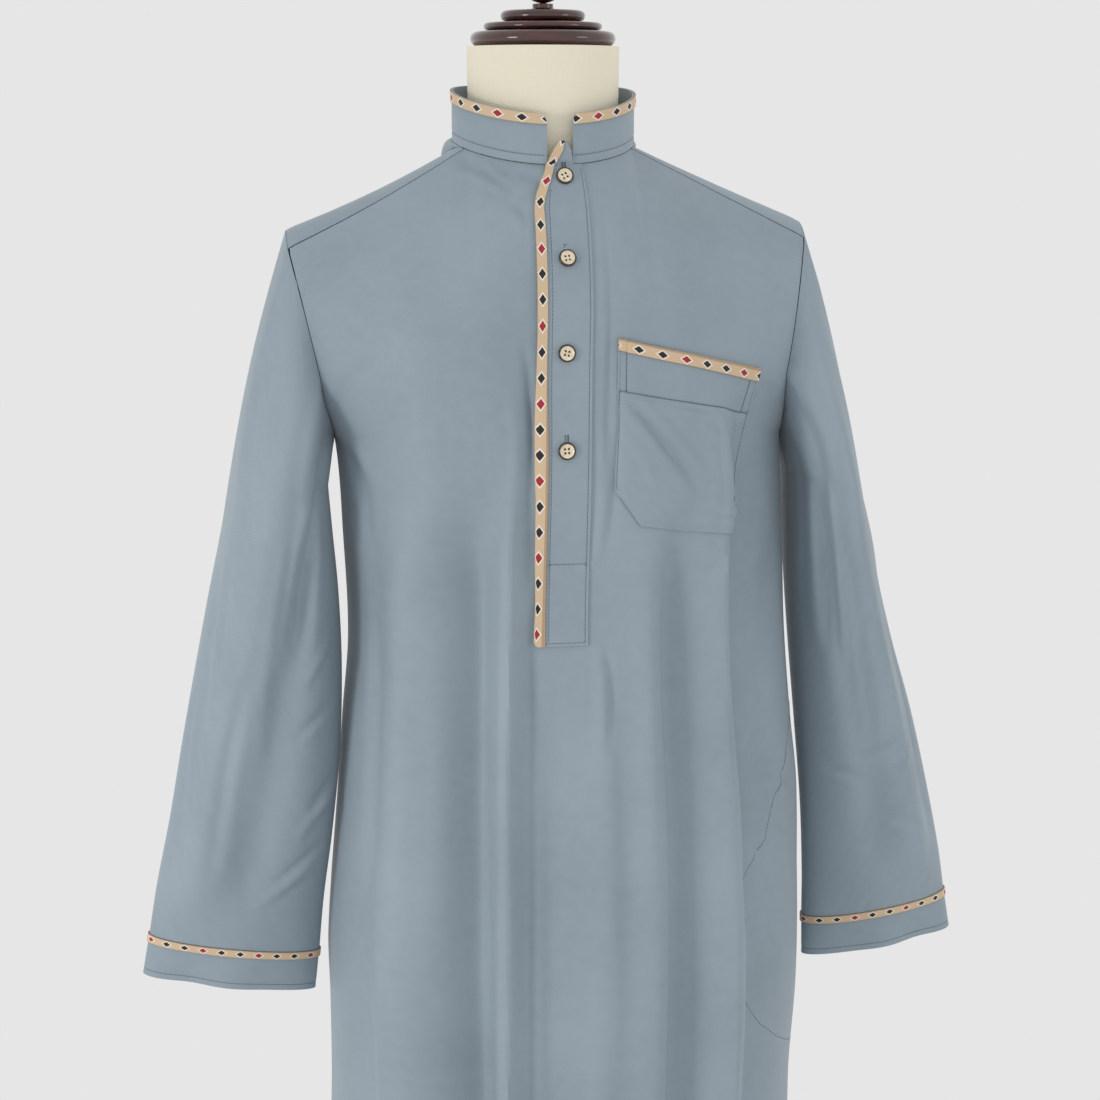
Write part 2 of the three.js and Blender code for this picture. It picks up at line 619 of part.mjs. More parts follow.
// Columns inside the neck column end round the back of the neck, the others on the shoulder seam.
function backTop(column) {
  const side = Math.sign(column) || 1;
  const seamAngle = THREE.MathUtils.degToRad(SHOULDER_SEAM_ANGLE);
  const neckShare = Math.abs(column) / NECK_COLUMN;
  if (neckShare <= 1) {
    const angle = side * mix(Math.PI, seamAngle, neckShare);
    const end = neckPoint(angle);
    const outward = new THREE.Vector3(Math.sin(angle), -Math.cos(angle), 0).multiplyScalar(BACK_NECK.out);
    outward.y += neckShare ** 2 * BACK_NECK.back;
    outward.z += mix(-BACK_NECK.down, BACK_NECK.up, neckShare);
    return { end, before: end.clone().add(outward) };
  }
  const share = (Math.abs(column) - NECK_COLUMN) / (CHEST_HALF - NECK_COLUMN);
  const end = shoulderSeam(share, side);
  const before = end.clone();
  before.x += side * mix(BACK_SHOULDER_NECK.out, BACK_SHOULDER_TIP.out, share ** 0.5);
  before.y += mix(BACK_SHOULDER_NECK.back, BACK_SHOULDER_TIP.back, share);
  before.z += mix(BACK_SHOULDER_NECK.up, BACK_SHOULDER_TIP.up, share);
  return { end, before };
}

function backUpperPoint(column, rise) {
  const low = backBodyPoint(BACK_ROWS[BACK_ROWS.length - 1], column);
  const { end, before } = backTop(column);
  const gap = before.clone().sub(end).setLength(SHOULDER_SEAM_GAP);
  if (Math.abs(column) > NECK_COLUMN - 1) end.add(gap);
  const after = low.clone();
  after.z += (end.z - low.z) * BACK_STEEP;
  after.x = mix(low.x, before.x, BACK_DRAW);
  const curve = new THREE.CubicBezierCurve3(low, after, before, end);
  return curve.getPoint(rise);
}

const backGrid = BACK_ROWS.map((row) => BACK_COLUMNS.map((column) => backBodyPoint(row, column)));
backGrid.forEach((points, r) => {
  if (r > BACK_ARMPIT_ROW) return;
  points[0].y += SIDE_SEAM_GAP / 2;
  points[points.length - 1].y += SIDE_SEAM_GAP / 2;
});
for (const rise of BACK_RISE) backGrid.push(BACK_COLUMNS.map((column) => backUpperPoint(column, rise)));
const backMiddle = BACK_COLUMNS.indexOf(0) - 1;
const backSheet = gridSheet(backGrid, { diagonal: (r, c) => (c <= backMiddle ? "ac" : "bd") });
add("back", wall(backSheet, -CLOTH / 2, CLOTH / 2), materials.cloth);

// Sleeves

// The armhole from the armpit up the front edge, over the shoulder and down the back edge, in equal steps.
function armhole(side) {
  const frontColumn = side > 0 ? FRONT_COLUMNS.length - 1 : 0;
  const backColumn = side > 0 ? 0 : BACK_COLUMNS.length - 1;
  const up = frontGrid.slice(ARMPIT_ROW).map((row) => row[frontColumn]);
  const down = backGrid.slice(BACK_ARMPIT_ROW).map((row) => row[backColumn]).reverse();
  const line = [...up, ...down];
  line.push(line[0]);
  const path = new THREE.CurvePath();
  for (let i = 0; i < line.length - 1; i += 1) {
    path.add(new THREE.LineCurve3(line[i], line[i + 1]));
  }
  return path.getSpacedPoints(SLEEVE_STEPS).slice(0, SLEEVE_STEPS);
}

function sleeveFold(angle, z) {
  const turn = THREE.MathUtils.radToDeg(angle);
  const bottom = SLEEVE_RIGHT[SLEEVE_RIGHT.length - 1].z;
  const down = 1 - (z - bottom) / (ARMPIT_Z - bottom);
  let out = 0;
  for (const fold of SLEEVE_FOLDS) {
    const reach = (turn - mix(fold.top, fold.cuff, down)) / fold.width;
    const above = ramp(fold.to, fold.to - SLEEVE_FOLD_FADE, z);
    const below = ramp(fold.from, fold.from + SLEEVE_FOLD_FADE, z);
    out += fold.out * Math.exp(-reach * reach) * above * below;
  }
  return out;
}

// A ring of the hanging sleeve: angle 0 is the side next to the body, 90 degrees is the front.
function sleeveRing(table, side, z) {
  const outer = at(table, "outer", z);
  const inner = at(table, "inner", z);
  const centre = (outer + inner) / 2;
  const half = (outer - inner) / 2;
  const deep = at(table, "deep", z);
  const forward = at(table, "forward", z);
  const slope = at(table, "slope", z);
  const ring = [];
  for (let i = 0; i < SLEEVE_STEPS; i += 1) {
    const angle = (i / SLEEVE_STEPS) * Math.PI * 2;
    const fold = sleeveFold(angle, z);
    const across = -Math.cos(angle) * half;
    const x = centre + across * (1 + fold / half);
    const y = -forward - Math.sin(angle) * (deep + fold);
    ring.push(new THREE.Vector3(side * x, y, z + slope * across));
  }
  return ring;
}

function sleeveRows(table, side) {
  const start = armhole(side).map((point, i) => {
    const angle = (i / SLEEVE_STEPS) * Math.PI * 2;
    const top = (1 - Math.cos(angle)) / 2;
    const across = mix(UNDERARM_GAP, SLEEVE_SEAM_GAP * SLEEVE_TOP_SHARE, top);
    const moved = point.clone();
    moved.x += side * across;
    moved.z -= SLEEVE_SEAM_GAP * SLEEVE_TOP_SHARE * top;
    return moved;
  });
  const first = sleeveRing(table, side, table[0].z);
  const rows = [];
  for (let k = 0; k < SLEEVE_CAP_RINGS; k += 1) {
    const t = k / SLEEVE_CAP_RINGS;
    rows.push(
      start.map((point, i) => {
        const angle = (i / SLEEVE_STEPS) * Math.PI * 2;
        const bulge = Math.sin(t * Math.PI) * SLEEVE_CAP_BULGE;
        const top = (1 - Math.cos(angle)) / 2;
        const placed = point.clone().lerp(first[i], t);
        placed.x += (side * bulge * top) / 2;
        placed.y -= bulge * Math.sin(angle);
        return placed;
      }),
    );
  }
  const bottom = table[table.length - 1].z;
  for (let k = 0; k <= SLEEVE_HANG_RINGS; k += 1) {
    rows.push(sleeveRing(table, side, mix(table[0].z, bottom, k / SLEEVE_HANG_RINGS)));
  }
  return rows;
}

// The cuff goes on along the sleeve's last stretch.
function cuffRows(sleeve) {
  const last = sleeve[sleeve.length - 1];
  const earlier = sleeve[sleeve.length - 3];
  return CUFF_ROWS.map((length) =>
    last.map((point, i) => {
      const direction = point.clone().sub(earlier[i]).normalize();
      return point.clone().addScaledVector(direction, length);
    }),
  );
}

for (const [name, table, side] of [
  ["right", SLEEVE_RIGHT, -1],
  ["left", SLEEVE_LEFT, 1],
]) {
  const rows = sleeveRows(table, side);
  const facing = { closed: true, flip: side > 0 };
  add("sleeve_" + name, wall(gridSheet(rows, facing), -CLOTH / 2, CLOTH / 2), materials.cloth);
  const cuff = gridSheet(cuffRows(rows), facing);
  add("cuff_band_" + name, wall(cuff, -CLOTH / 2, CLOTH / 2), materials.cloth);
  const tapeFaces = cuff.faces.slice(0, SLEEVE_STEPS * 2);
  const from = CLOTH / 2 + LIFT;
  add("cuff_trim_" + name, wall({ ...cuff, faces: tapeFaces }, from, from + TAPE), materials.tape);
}

// Collar

// How far the rounded upper corners fall below the collar's edge.
function collarCornerDrop(angle) {
  const ends = collarAngles();
  const along = Math.min(angle - ends.from, ends.to - angle) * NECK.front;
  if (along >= COLLAR_CORNER) return 0;
  return COLLAR_CORNER - Math.sqrt(COLLAR_CORNER ** 2 - (COLLAR_CORNER - along) ** 2);
}

function collarAngles() {
  return {
    from: Math.asin((COLLAR_HALF_GAP + COLLAR_GAP_SHIFT) / NECK.half),
    to: 2 * Math.PI - Math.asin((COLLAR_HALF_GAP - COLLAR_GAP_SHIFT) / NECK.half),
  };
}

function collarGrid() {
  const { from, to } = collarAngles();
  const near = COLLAR_END_STEPS;
  const angles = near.map((a) => from + a);
  const middleFrom = angles[angles.length - 1];
  const middleTo = to - near[near.length - 1];
  for (let i = 1; i < COLLAR_STEPS; i += 1) angles.push(mix(middleFrom, middleTo, i / COLLAR_STEPS));
  angles.push(...near.map((a) => to - a).reverse());
  const heights = [0, COLLAR_HEIGHT * COLLAR_LOW_ROW, COLLAR_HEIGHT - COLLAR_TAPE, COLLAR_HEIGHT];
  return heights.map((height) =>
    angles.map((angle) => {
      const point = neckPoint(angle);
      const drop = height === COLLAR_HEIGHT ? collarCornerDrop(angle) : 0;
      point.z += COLLAR_SEAM_GAP + height - drop;
      return point;
    }),
  );
}

const collarSheet = gridSheet(collarGrid());
add("collar", wall(collarSheet, -CLOTH / 2, CLOTH / 2), materials.cloth);
const collarTapeFaces = collarSheet.faces.slice(-(collarSheet.across - 1) * 2);
const collarTapeFrom = CLOTH / 2 + LIFT;
add(
  "collar_trim",
  wall({ ...collarSheet, faces: collarTapeFaces }, collarTapeFrom, collarTapeFrom + TAPE),
  materials.tape,
);

// Placket flap, with a point that stands up between the collar's ends.

const FLAP_POINT_ROWS = [
  { z: 1511, left: -6, right: 9 },
  { z: 1518, left: -1, right: 4 },
];

function flapSheet() {
  const rows = frontGrid.slice(PLACKET_FIRST_ROW).map((row) => row.slice(FLAP_LEFT, FLAP_RIGHT + 1));
  const neckRow = rows[rows.length - 1];
  const lastColumn = neckRow.length - 1;
  for (const level of FLAP_POINT_ROWS) {
    rows.push(
      neckRow.map((point, c) => {
        const x = c === lastColumn ? point.x : mix(level.left, level.right, c / (lastColumn - 1));
        return new THREE.Vector3(x + COLLAR_GAP_SHIFT, -NECK.front, level.z);
      }),
    );
  }
  const bodyRows = rows.length - FLAP_POINT_ROWS.length;
  const sheet = gridSheet(rows, {
    keep: (r, c) => (r >= bodyRows - 1 && c === lastColumn - 1 ? 0 : 1),
    diagonal: () => "bd",
  });
  const frontAcross = frontSheet.across;
  rows.forEach((row, r) => {
    if (r >= bodyRows - 1) return;
    row.forEach((_, c) => {
      const source = (PLACKET_FIRST_ROW + r) * frontAcross + FLAP_LEFT + c;
      sheet.normals[r * sheet.across + c].copy(frontSheet.normals[source]);
    });
  });
  return sheet;
}

const flap = flapSheet();
const flapFrom = CLOTH / 2 + LIFT;
add("placket", wall(flap, flapFrom, flapFrom + CLOTH), materials.cloth);
const flapTape = {
  ...flap,
  faces: flap.faces.filter((face) => face.every((v) => v % flap.across <= FLAP_TAPE_RIGHT - FLAP_LEFT)),
};
const tapeFrom = flapFrom + CLOTH + LIFT;
add("placket_trim", wall(flapTape, tapeFrom, tapeFrom + TAPE), materials.tape);

// Chest pocket, its two lower corners cut off.

function pocketCells(r, c) {
  if (r === POCKET_FIRST_ROW && c === POCKET_LEFT) return "first";
  if (r === POCKET_FIRST_ROW && c === POCKET_RIGHT - 1) return "second";
  return 1;
}

const pocket = pieceOf(frontSheet, POCKET_FIRST_ROW, CHEST_ROW, POCKET_LEFT, POCKET_RIGHT, pocketCells);
const pocketFrom = CLOTH / 2 + POCKET_LIFT;
add("chest_pocket", wall(pocket, pocketFrom, pocketFrom + CLOTH), materials.cloth);
const pocketTape = pieceOf(frontSheet, POCKET_TAPE_ROW, CHEST_ROW, POCKET_LEFT, POCKET_RIGHT);
const pocketTapeFrom = pocketFrom + CLOTH + LIFT;
add("chest_pocket_trim", wall(pocketTape, pocketTapeFrom, pocketTapeFrom + TAPE), materials.tape);

// Buttons

function toManifold(geometry) {
  const plain = geometry.index ? geometry.toNonIndexed() : geometry.clone();
  const bare = new THREE.BufferGeometry();
  bare.setAttribute("position", plain.getAttribute("position"));
  const merged = mergeVertices(bare, 1e-4);
  const vertProperties = merged.attributes.position.array;
  const triVerts = new Uint32Array(merged.index.array);
  return new wasm.Manifold(new wasm.Mesh({ numProp: 3, vertProperties, triVerts }));
}

function fromManifold(solid) {
  const mesh = solid.getMesh();
  const geometry = new THREE.BufferGeometry();
  geometry.setAttribute("position", new THREE.BufferAttribute(Float32Array.from(mesh.vertProperties), 3));
  geometry.setIndex(new THREE.BufferAttribute(mesh.triVerts, 1));
  geometry.computeVertexNormals();
  return geometry;
}

function lathe(outline, steps) {
  const points = outline.map(({ radius, z }) => new THREE.Vector2(radius, z));
  const geometry = new THREE.LatheGeometry(points, steps);
  geometry.rotateX(Math.PI / 2);
  return geometry;
}

// A button with a raised rim and four holes, its back on z = 0.
function buttonGeometry() {
  let solid = toManifold(lathe(BUTTON_OUTLINE, BUTTON_STEPS));
  for (const [sx, sy] of [[-1, -1], [-1, 1], [1, -1], [1, 1]]) {
    const hole = wasm.Manifold.cylinder(BUTTON_THICK * 3, BUTTON_HOLE_RADIUS, BUTTON_HOLE_RADIUS, 6, true);
    const offset = BUTTON_HOLE_PITCH / 2;
    solid = solid.subtract(hole.translate([sx * offset, sy * offset, 0]));
  }
  return fromManifold(solid);
}

// The flap's outer face where a button sits: nearest point of the flap, with its normal.
function flapSeat(x, z) {
  const ray = new THREE.Raycaster(new THREE.Vector3(x, -FRONT_CLEAR, z), new THREE.Vector3(0, 1, 0));
  const target = group.getObjectByName("placket");
  target.updateMatrixWorld();
  const hit = ray.intersectObject(target)[0];
  return { point: hit.point, normal: hit.face.normal.clone() };
}

const buttonShape = buttonGeometry();
for (const { name, x, z } of BUTTONS) {
  const button = add(name, buttonShape.clone(), materials.button);
  const { point, normal } = flapSeat(x, z);
  button.quaternion.setFromUnitVectors(new THREE.Vector3(0, 0, 1), normal);
  button.position.copy(point).addScaledVector(normal, BUTTON_LIFT);
}

// Dress form: torso and neck in one padded shell, closed by flat ends.

function formGeometry() {
  const rows = FORM.map(({ z, half, front, back }) => {
    const ring = [];
    for (let i = 0; i < FORM_STEPS; i += 1) {
      const angle = (i / FORM_STEPS) * Math.PI * 2;
      const depth = Math.sin(angle) < 0 ? front : back;
      ring.push(new THREE.Vector3(half * Math.cos(angle), depth * Math.sin(angle), z));
    }
    return ring;
  });
  const points = rows.flat();
  const foot = points.push(new THREE.Vector3(0, 0, FORM[0].z)) - 1;
  const head = points.push(new THREE.Vector3(0, 0, FORM[FORM.length - 1].z)) - 1;
  const index = [];
  const last = (FORM.length - 1) * FORM_STEPS;
  for (let i = 0; i < FORM_STEPS; i += 1) {
    const next = (i + 1) % FORM_STEPS;
    index.push(foot, next, i, head, last + i, last + next);
    for (let r = 0; r < FORM.length - 1; r += 1) {
      const a = r * FORM_STEPS;
      const b = a + FORM_STEPS;
      index.push(a + i, a + next, b + next, a + i, b + next, b + i);
    }
  }
  const geometry = new THREE.BufferGeometry().setFromPoints(points);
  geometry.setIndex(index);
  geometry.computeVertexNormals();
  return geometry;
}

add("form_torso", formGeometry(), materials.linen);

// Neck cap: three rounded discs and a knob, turned as one piece.
function bead({ radius, foot, high }) {
  const points = [];
  for (let i = 0; i <= BEAD_STEPS; i += 1) {
    const turn = (i / BEAD_STEPS - 0.5) * Math.PI;
    const inset = (high / 2) * (1 - Math.cos(turn));
    points.push({ radius: radius - inset, z: foot + (high / 2) * (1 + Math.sin(turn)) });
  }
  return points;
}

const capFoot = FORM[FORM.length - 1].z + FORM_SOCKET;
const capOutline = [
  { radius: 0, z: 0 },
  ...CAP_BEADS.flatMap(bead),
  { radius: CAP_STEM.radius, z: CAP_STEM.from },
  { radius: CAP_STEM.radius, z: CAP_STEM.to },
  ...bead(CAP_KNOB),
  { radius: 0, z: CAP_KNOB.foot + CAP_KNOB.high },
];
const cap = lathe(capOutline, CAP_STEPS);
cap.translate(0, 0, capFoot);
add("form_neck_cap", cap, materials.wood);

// Pole and base
add("form_pole", lathe(POLE_OUTLINE, POLE_STEPS), materials.metal);
add("form_base", lathe(BASE_OUTLINE, BASE_STEPS), materials.metal);

export default group;
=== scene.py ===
# A buttoned ankle-length thobe on a limbless dress form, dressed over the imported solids.
# Metres, +Z up, the front towards -Y and +X the wearer's left. Tables are in millimetres.
import math

import bpy
import numpy as np
from mathutils import Matrix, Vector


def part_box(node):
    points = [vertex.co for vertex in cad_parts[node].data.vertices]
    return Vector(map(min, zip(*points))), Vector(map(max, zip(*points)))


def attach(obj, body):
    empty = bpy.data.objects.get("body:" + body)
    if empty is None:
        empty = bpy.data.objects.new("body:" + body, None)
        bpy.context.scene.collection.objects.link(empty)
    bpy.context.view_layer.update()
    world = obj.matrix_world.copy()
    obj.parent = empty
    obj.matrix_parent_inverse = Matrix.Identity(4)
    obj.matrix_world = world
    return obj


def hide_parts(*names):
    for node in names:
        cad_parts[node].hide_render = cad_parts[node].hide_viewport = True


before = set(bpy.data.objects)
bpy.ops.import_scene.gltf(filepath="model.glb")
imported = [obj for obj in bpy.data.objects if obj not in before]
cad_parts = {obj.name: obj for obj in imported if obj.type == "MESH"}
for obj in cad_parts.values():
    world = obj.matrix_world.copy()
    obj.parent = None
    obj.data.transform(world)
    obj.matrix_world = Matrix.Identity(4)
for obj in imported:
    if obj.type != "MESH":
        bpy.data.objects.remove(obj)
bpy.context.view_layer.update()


# Camera: chest-high studio view from a little to the wearer's right, looking slightly down.
camera_data = bpy.data.cameras.new("studio_camera")
camera_data.lens = 85.8
camera_data.sensor_width = 36
camera = bpy.data.objects.new("studio_camera", camera_data)
bpy.context.collection.objects.link(camera)
camera.location = (-0.3631, -2.1698, 1.530)
camera.rotation_euler = (math.radians(80.8), 0, math.radians(-9.653))
bpy.context.scene.camera = camera


# Studio: a round painted floor in a white room, with a window low on one side and a soft lamp on the other.
def linear(code):
    """The linear colour of an sRGB hex value."""
    parts = [int(code[i:i + 2], 16) / 255 for i in (1, 3, 5)]
    return [p / 12.92 if p <= 0.04045 else ((p + 0.055) / 1.055) ** 2.4 for p in parts] + [1]


def add_node(tree, kind, inputs=None, **settings):
    """A new node in the tree, with its settings, and with its inputs set to values or linked to sockets."""
    made = tree.nodes.new(kind)
    for field, value in settings.items():
        setattr(made, field, value)
    for socket, value in (inputs or {}).items():
        if isinstance(value, bpy.types.NodeSocket):
            tree.links.new(value, made.inputs[socket])
        else:
            made.inputs[socket].default_value = value
    return made


def new_material(name, colour, **settings):
    """A material with one Principled shader, its fixed numbers set on the shader's own sockets."""
    material = bpy.data.materials.new(name)
    material.use_nodes = True
    material.diffuse_color = linear(colour)
    shader = material.node_tree.nodes["Principled BSDF"]
    shader.inputs["Base Color"].default_value = linear(colour)
    for socket, value in settings.items():
        shader.inputs[socket.replace("_", " ")].default_value = value
    return material.node_tree, shader, material


def noise(tree, scale, detail, place=None):
    """A soft noise over the object's own place, or over another vector."""
    if place is None:
        place = add_node(tree, "ShaderNodeTexCoord").outputs["Object"]
    made = add_node(tree, "ShaderNodeTexNoise", {"Vector": place, "Scale": scale, "Detail": detail})
    return made.outputs["Fac"]


def shade(tree, shader, amount, dark, light, low=0.0, high=1.0):
    """Colours the shader from dark to light as the amount goes from low to high."""
    shades = add_node(tree, "ShaderNodeValToRGB", {"Fac": amount})
    for end, at, colour in zip(shades.color_ramp.elements, (low, high), (dark, light)):
        end.position, end.color = at, linear(colour)
    tree.links.new(shades.outputs["Color"], shader.inputs["Base Color"])


def add_object(name, data):
    """A new object in the scene that shows the given mesh or lamp."""
    made = bpy.data.objects.new(name, data)
    bpy.context.collection.objects.link(made)
    return made


# Painted concrete: matt, with a faint cloudiness from the roller.
tree, shader, floor_paint = new_material("matt_floor_paint", "#CBCBCA", Roughness=0.9)
shade(tree, shader, noise(tree, 2.5, 3), "#C3C4C3", "#CBCBCA")
FLOOR_RADIUS = 1.25
FLOOR_STEPS = 96
floor_angles = [2 * math.pi * i / FLOOR_STEPS for i in range(FLOOR_STEPS)]
floor_mesh = bpy.data.meshes.new("floor")
floor_mesh.from_pydata([(FLOOR_RADIUS * math.cos(a), FLOOR_RADIUS * math.sin(a), 0) for a in floor_angles],
                       [], [tuple(range(FLOOR_STEPS))])
floor_mesh.materials.append(floor_paint)
floor = add_object("floor", floor_mesh)

room = bpy.data.worlds.new("white_room")
room.use_nodes = True
room.node_tree.nodes["Background"].inputs["Color"].default_value = linear("#E6E6E6")
room.node_tree.nodes["Background"].inputs["Strength"].default_value = 1.0
bpy.context.scene.world = room
bpy.context.scene.view_settings.view_transform = "Standard"

LAMPS = [
    # name, place, aimed at, width, watts, spread in degrees
    ("window_lamp", (-2.9, -1.8, 1.1), (0, 0, 0.95), 0.9, 1.6, 36),
    ("side_lamp", (2.7, -1.9, 1.5), (0, 0, 1.2), 1.0, 7, 180),
]
for name, spot, aim, width, watts, spread in LAMPS:
    lamp_data = bpy.data.lights.new(name, "AREA")
    lamp_data.size = width
    lamp_data.energy = watts
    lamp_data.spread = math.radians(spread)
    lamp = add_object(name, lamp_data)
    lamp.location = spot
    direction = np.array(aim) - np.array(spot)
    lamp.rotation_euler = (math.atan2(math.hypot(direction[0], direction[1]), -direction[2]), 0,
                           math.atan2(direction[1], direction[0]) - math.pi / 2)


# Front panel: one piece of blue-grey poplin from the shoulder seams to the hem, slit at the neck. It hangs
# from the shoulders in soft folds that deepen towards the hem, which is turned up and stitched.
def between(a, b, share):
    return a + (b - a) * share


def eased(start, end, value):
    """0 before start, 1 after end, with a soft rise between them."""
    share = np.clip((value - start) / (end - start), 0, 1)
    return share * share * (3 - 2 * share)


def read(table, field, height):
    """A column of a table at a height, on a smooth curve through its rows."""
    keys, values = table[:, 0], table[:, field]
    height = np.clip(height, keys[0], keys[-1])
    i = np.clip(np.searchsorted(keys, height) - 1, 0, len(keys) - 2)
    slope = np.gradient(values, keys)
    slope[1:-1] = (values[2:] - values[:-2]) / (keys[2:] - keys[:-2])
    step = keys[i + 1] - keys[i]
    t = (height - keys[i]) / step
    return (values[i] * (1 + 2 * t) * (1 - t) ** 2 + values[i + 1] * t * t * (3 - 2 * t)
            + t * (1 - t) ** 2 * step * slope[i] + t * t * (t - 1) * step * slope[i + 1])


# Columns run from -194 to 194 across each panel, and the neck opening ends at column 71.
CHEST_HALF = 194.0
NECK_COLUMN = 71.0
HEM = 120.0
HEM_DEPTH = 25
ARMPIT = 1272.0
ARMHOLE_ROW = 1300

# Height, half width, depth before and behind the axis, and sideways drift of the body's sections.
BODY = np.array([
    (120, 222, 184, 182, 4), (300, 214, 178, 175, 8), (500, 206, 170, 165, 12), (707, 201, 160, 155, 15),
    (793, 204, 155, 150, 18), (850, 205, 151, 146, 18), (967, 200, 146, 140, 22), (1034, 194, 142, 135, 21),
    (1107, 188, 139, 132, 21), (1190, 188, 135, 128, 18), (1272, 189, 130, 123, 13), (1313, 193, 128, 121, 4),
    (1343, 195, 127, 120, 1), (1377, 202, 125, 118, -2), (1414, 213, 120, 114, 0), (1442, 216, 110, 107, 2),
], float)
# Height and sideways lean of the centre front.
LEAN = np.array([(120, 0), (843, 0), (1110, -7), (1270, -3), (1348, -2), (1426, 0.5), (1510, 3)], float)
# Height at the centre, at the side edge, how far the edge stands forward, and the share of flattening.
FRONT_EDGE = np.array([
    (120, 120, 0, 0), (850, 850, 0, 0), (910, 908, 0, 0), (965, 960, 0, 0), (1015, 1006, 0, 0),
    (1063, 1050, 0, 0), (1118, 1098, 0, 0), (1168, 1144, 0, 0), (1219, 1192, 0, 0), (1245, 1217, 0, 0),
    (1272, 1244, 0, 0), (1300, 1272, 0, 0), (1313, 1282, 20, 0.3), (1331, 1294, 36, 0.6),
    (1359, 1317, 53, 0.9), (1368, 1327, 57, 1),
], float)
CHEST = 1368.0
NECK_ROW = 1500.0
LEVEL_COLUMN = 20
NECK_SHIFT = 3
FLAP_REACH = 30
FLAP_TAPER = (1462, 1501.3)
FLAP_CLOSING = (0.5, 0.1)
# Powers of a section's roundness, where it hangs free and where it lies over the chest, and of the upper
# front's fall towards the neck.
ROUND_POWER, FLAT_POWER, CHEST_FALL = 2.5, 2.6, 1.7
SIDE_GAP = 0.3
# Large folds: column at the chest and at the hem, half width, out, sideways, and the heights it runs between.
FRONT_FOLDS = [
    (-33, -48, 8, -7, 0, 1180, 1370), (-43, -71, 13, 13, 0, 60, 1290), (-28, -56, 9, -8, 0, 60, 1180),
    (-86, -92, 25, -23, 0, 60, 1260), (-142, -134, 22, 11, 0, 60, 1260), (-6, -24, 16, -6, 0, 60, 1130),
    (34, 12, 12, 6, 0, 60, 1130), (70, 48, 16, 6, 0, 60, 1220), (100, 78, 17, -17, 0, 60, 1250),
    (126, 112, 14, 12, 0, 60, 1330), (152, 146, 16, -10, -4, 60, 1340), (168, 168, 24, 0, -30, 900, 1350),
    (-120, -120, 22, 4, 0, 1180, 1500), (96, 120, 20, 3, 0, 1230, 1500),
]
# Over how much height a large fold fades at its top, and how much it gains down to the hem.
FOLD_FADE, FOLD_HEM_GAIN = 110, 0.5
# Fine creases: from column and height to column and height, half width, and depth (in when negative).
FRONT_CREASES = [
    (-84, 1505, -36, 1476, 4.4, -4.0), (-72, 1492, -34, 1468, 4.2, 2.4), (-64, 1506, -30, 1482, 3.4, -3.6),
    (-50, 1506, -24, 1482, 3.0, -3.0), (-62, 1482, -26, 1456, 5.0, -2.6), (-46, 1470, -27, 1440, 4.6, 1.8),
    (-40, 1468, -28, 1436, 3.6, -1.3), (-31, 1492, -25, 1470, 1.8, -0.9), (-34, 1476, -26, 1452, 2.0, -0.8),
    (-36, 1365, -26, 1238, 3.4, -3.2), (-45, 1330, -40, 1180, 6, 2.2),
    (-190, 1300, -150, 1352, 5, -3.0), (-192, 1286, -160, 1240, 5, 2.4), (-186, 1270, -168, 1196, 4, -2.4),
    (-180, 1215, -172, 1050, 7, 2.7), (-172, 1160, -160, 900, 7, -3.2), (-118, 1150, -112, 820, 8, 2.4),
    (-43, 1235, -46, 960, 3.0, 2.7), (-46, 1010, -56, 560, 3.2, 3.2), (-72, 1000, -76, 480, 7, -2.4),
    (-22, 1090, -26, 640, 8, -2.2), (-8, 900, -14, 300, 9, 2.4), (-56, 620, -66, 140, 4, 3.0),
    (-156, 940, -146, 420, 8, 2.7), (-110, 640, -104, 140, 8, -2.7), (22, 880, 26, 330, 8, -2.7),
    (27, 1120, 26, 1020, 4, 2.2), (36, 1118, 35, 1035, 3.4, -2.4), (33, 1452, 33, 1236, 3.2, -2.2),
    (28, 1300, 28, 1180, 3.4, 2.2), (38, 1290, 37, 1190, 3.4, -2.2), (64, 1180, 58, 900, 7, 1.9),
    (125, 1302, 120, 1120, 2.6, 2.7), (122, 1190, 115, 900, 3.0, 3.2), (116, 960, 112, 520, 3.4, 3.2),
    (113, 600, 112, 140, 4, 3.0), (166, 1070, 173, 934, 4, -4.1), (176, 1080, 182, 950, 4, 2.4),
    (176, 1320, 186, 1286, 4, -2.7), (172, 1250, 184, 1180, 4, 2.4), (182, 1230, 178, 1110, 4.5, -2.7),
    (178, 990, 188, 962, 3, -2.4), (176, 982, 186, 950, 2.6, 1.9), (164, 926, 176, 912, 3, -2.2),
    (104, 900, 92, 560, 7, -2.4), (140, 760, 134, 260, 7, 2.4), (74, 620, 66, 140, 8, 2.2),
    (-60, 1440, -124, 1392, 18, 1.2), (-30, 420, -36, 130, 7, 2.7),
]
# A crease wanders sideways in slow waves, and a shallow ridge pinches it on one side, all in half widths.
CREASE_WANDER, CREASE_WAVES = 0.5, 1.3
CREASE_PINCH, PINCH_OFFSET = 0.4, 1.5


def folds_at(folds, column, height):
    """How far the large folds push the cloth out and sideways."""
    down = 1 - (height - HEM) / (ARMPIT - HEM)
    out = side = 0
    for chest, hem, width, push, shift, low, high in folds:
        reach = (column - between(chest, hem, down)) / width
        ends = eased(high, high - FOLD_FADE, height) * eased(low - 40, low + 10, height)
        strength = np.exp(-reach * reach) * ends * (1 + FOLD_HEM_GAIN * np.maximum(0, down))
        out, side = out + push * strength, side + shift * strength
    seam = 1 - (np.abs(column) / CHEST_HALF) ** 6
    return out * seam, side * seam


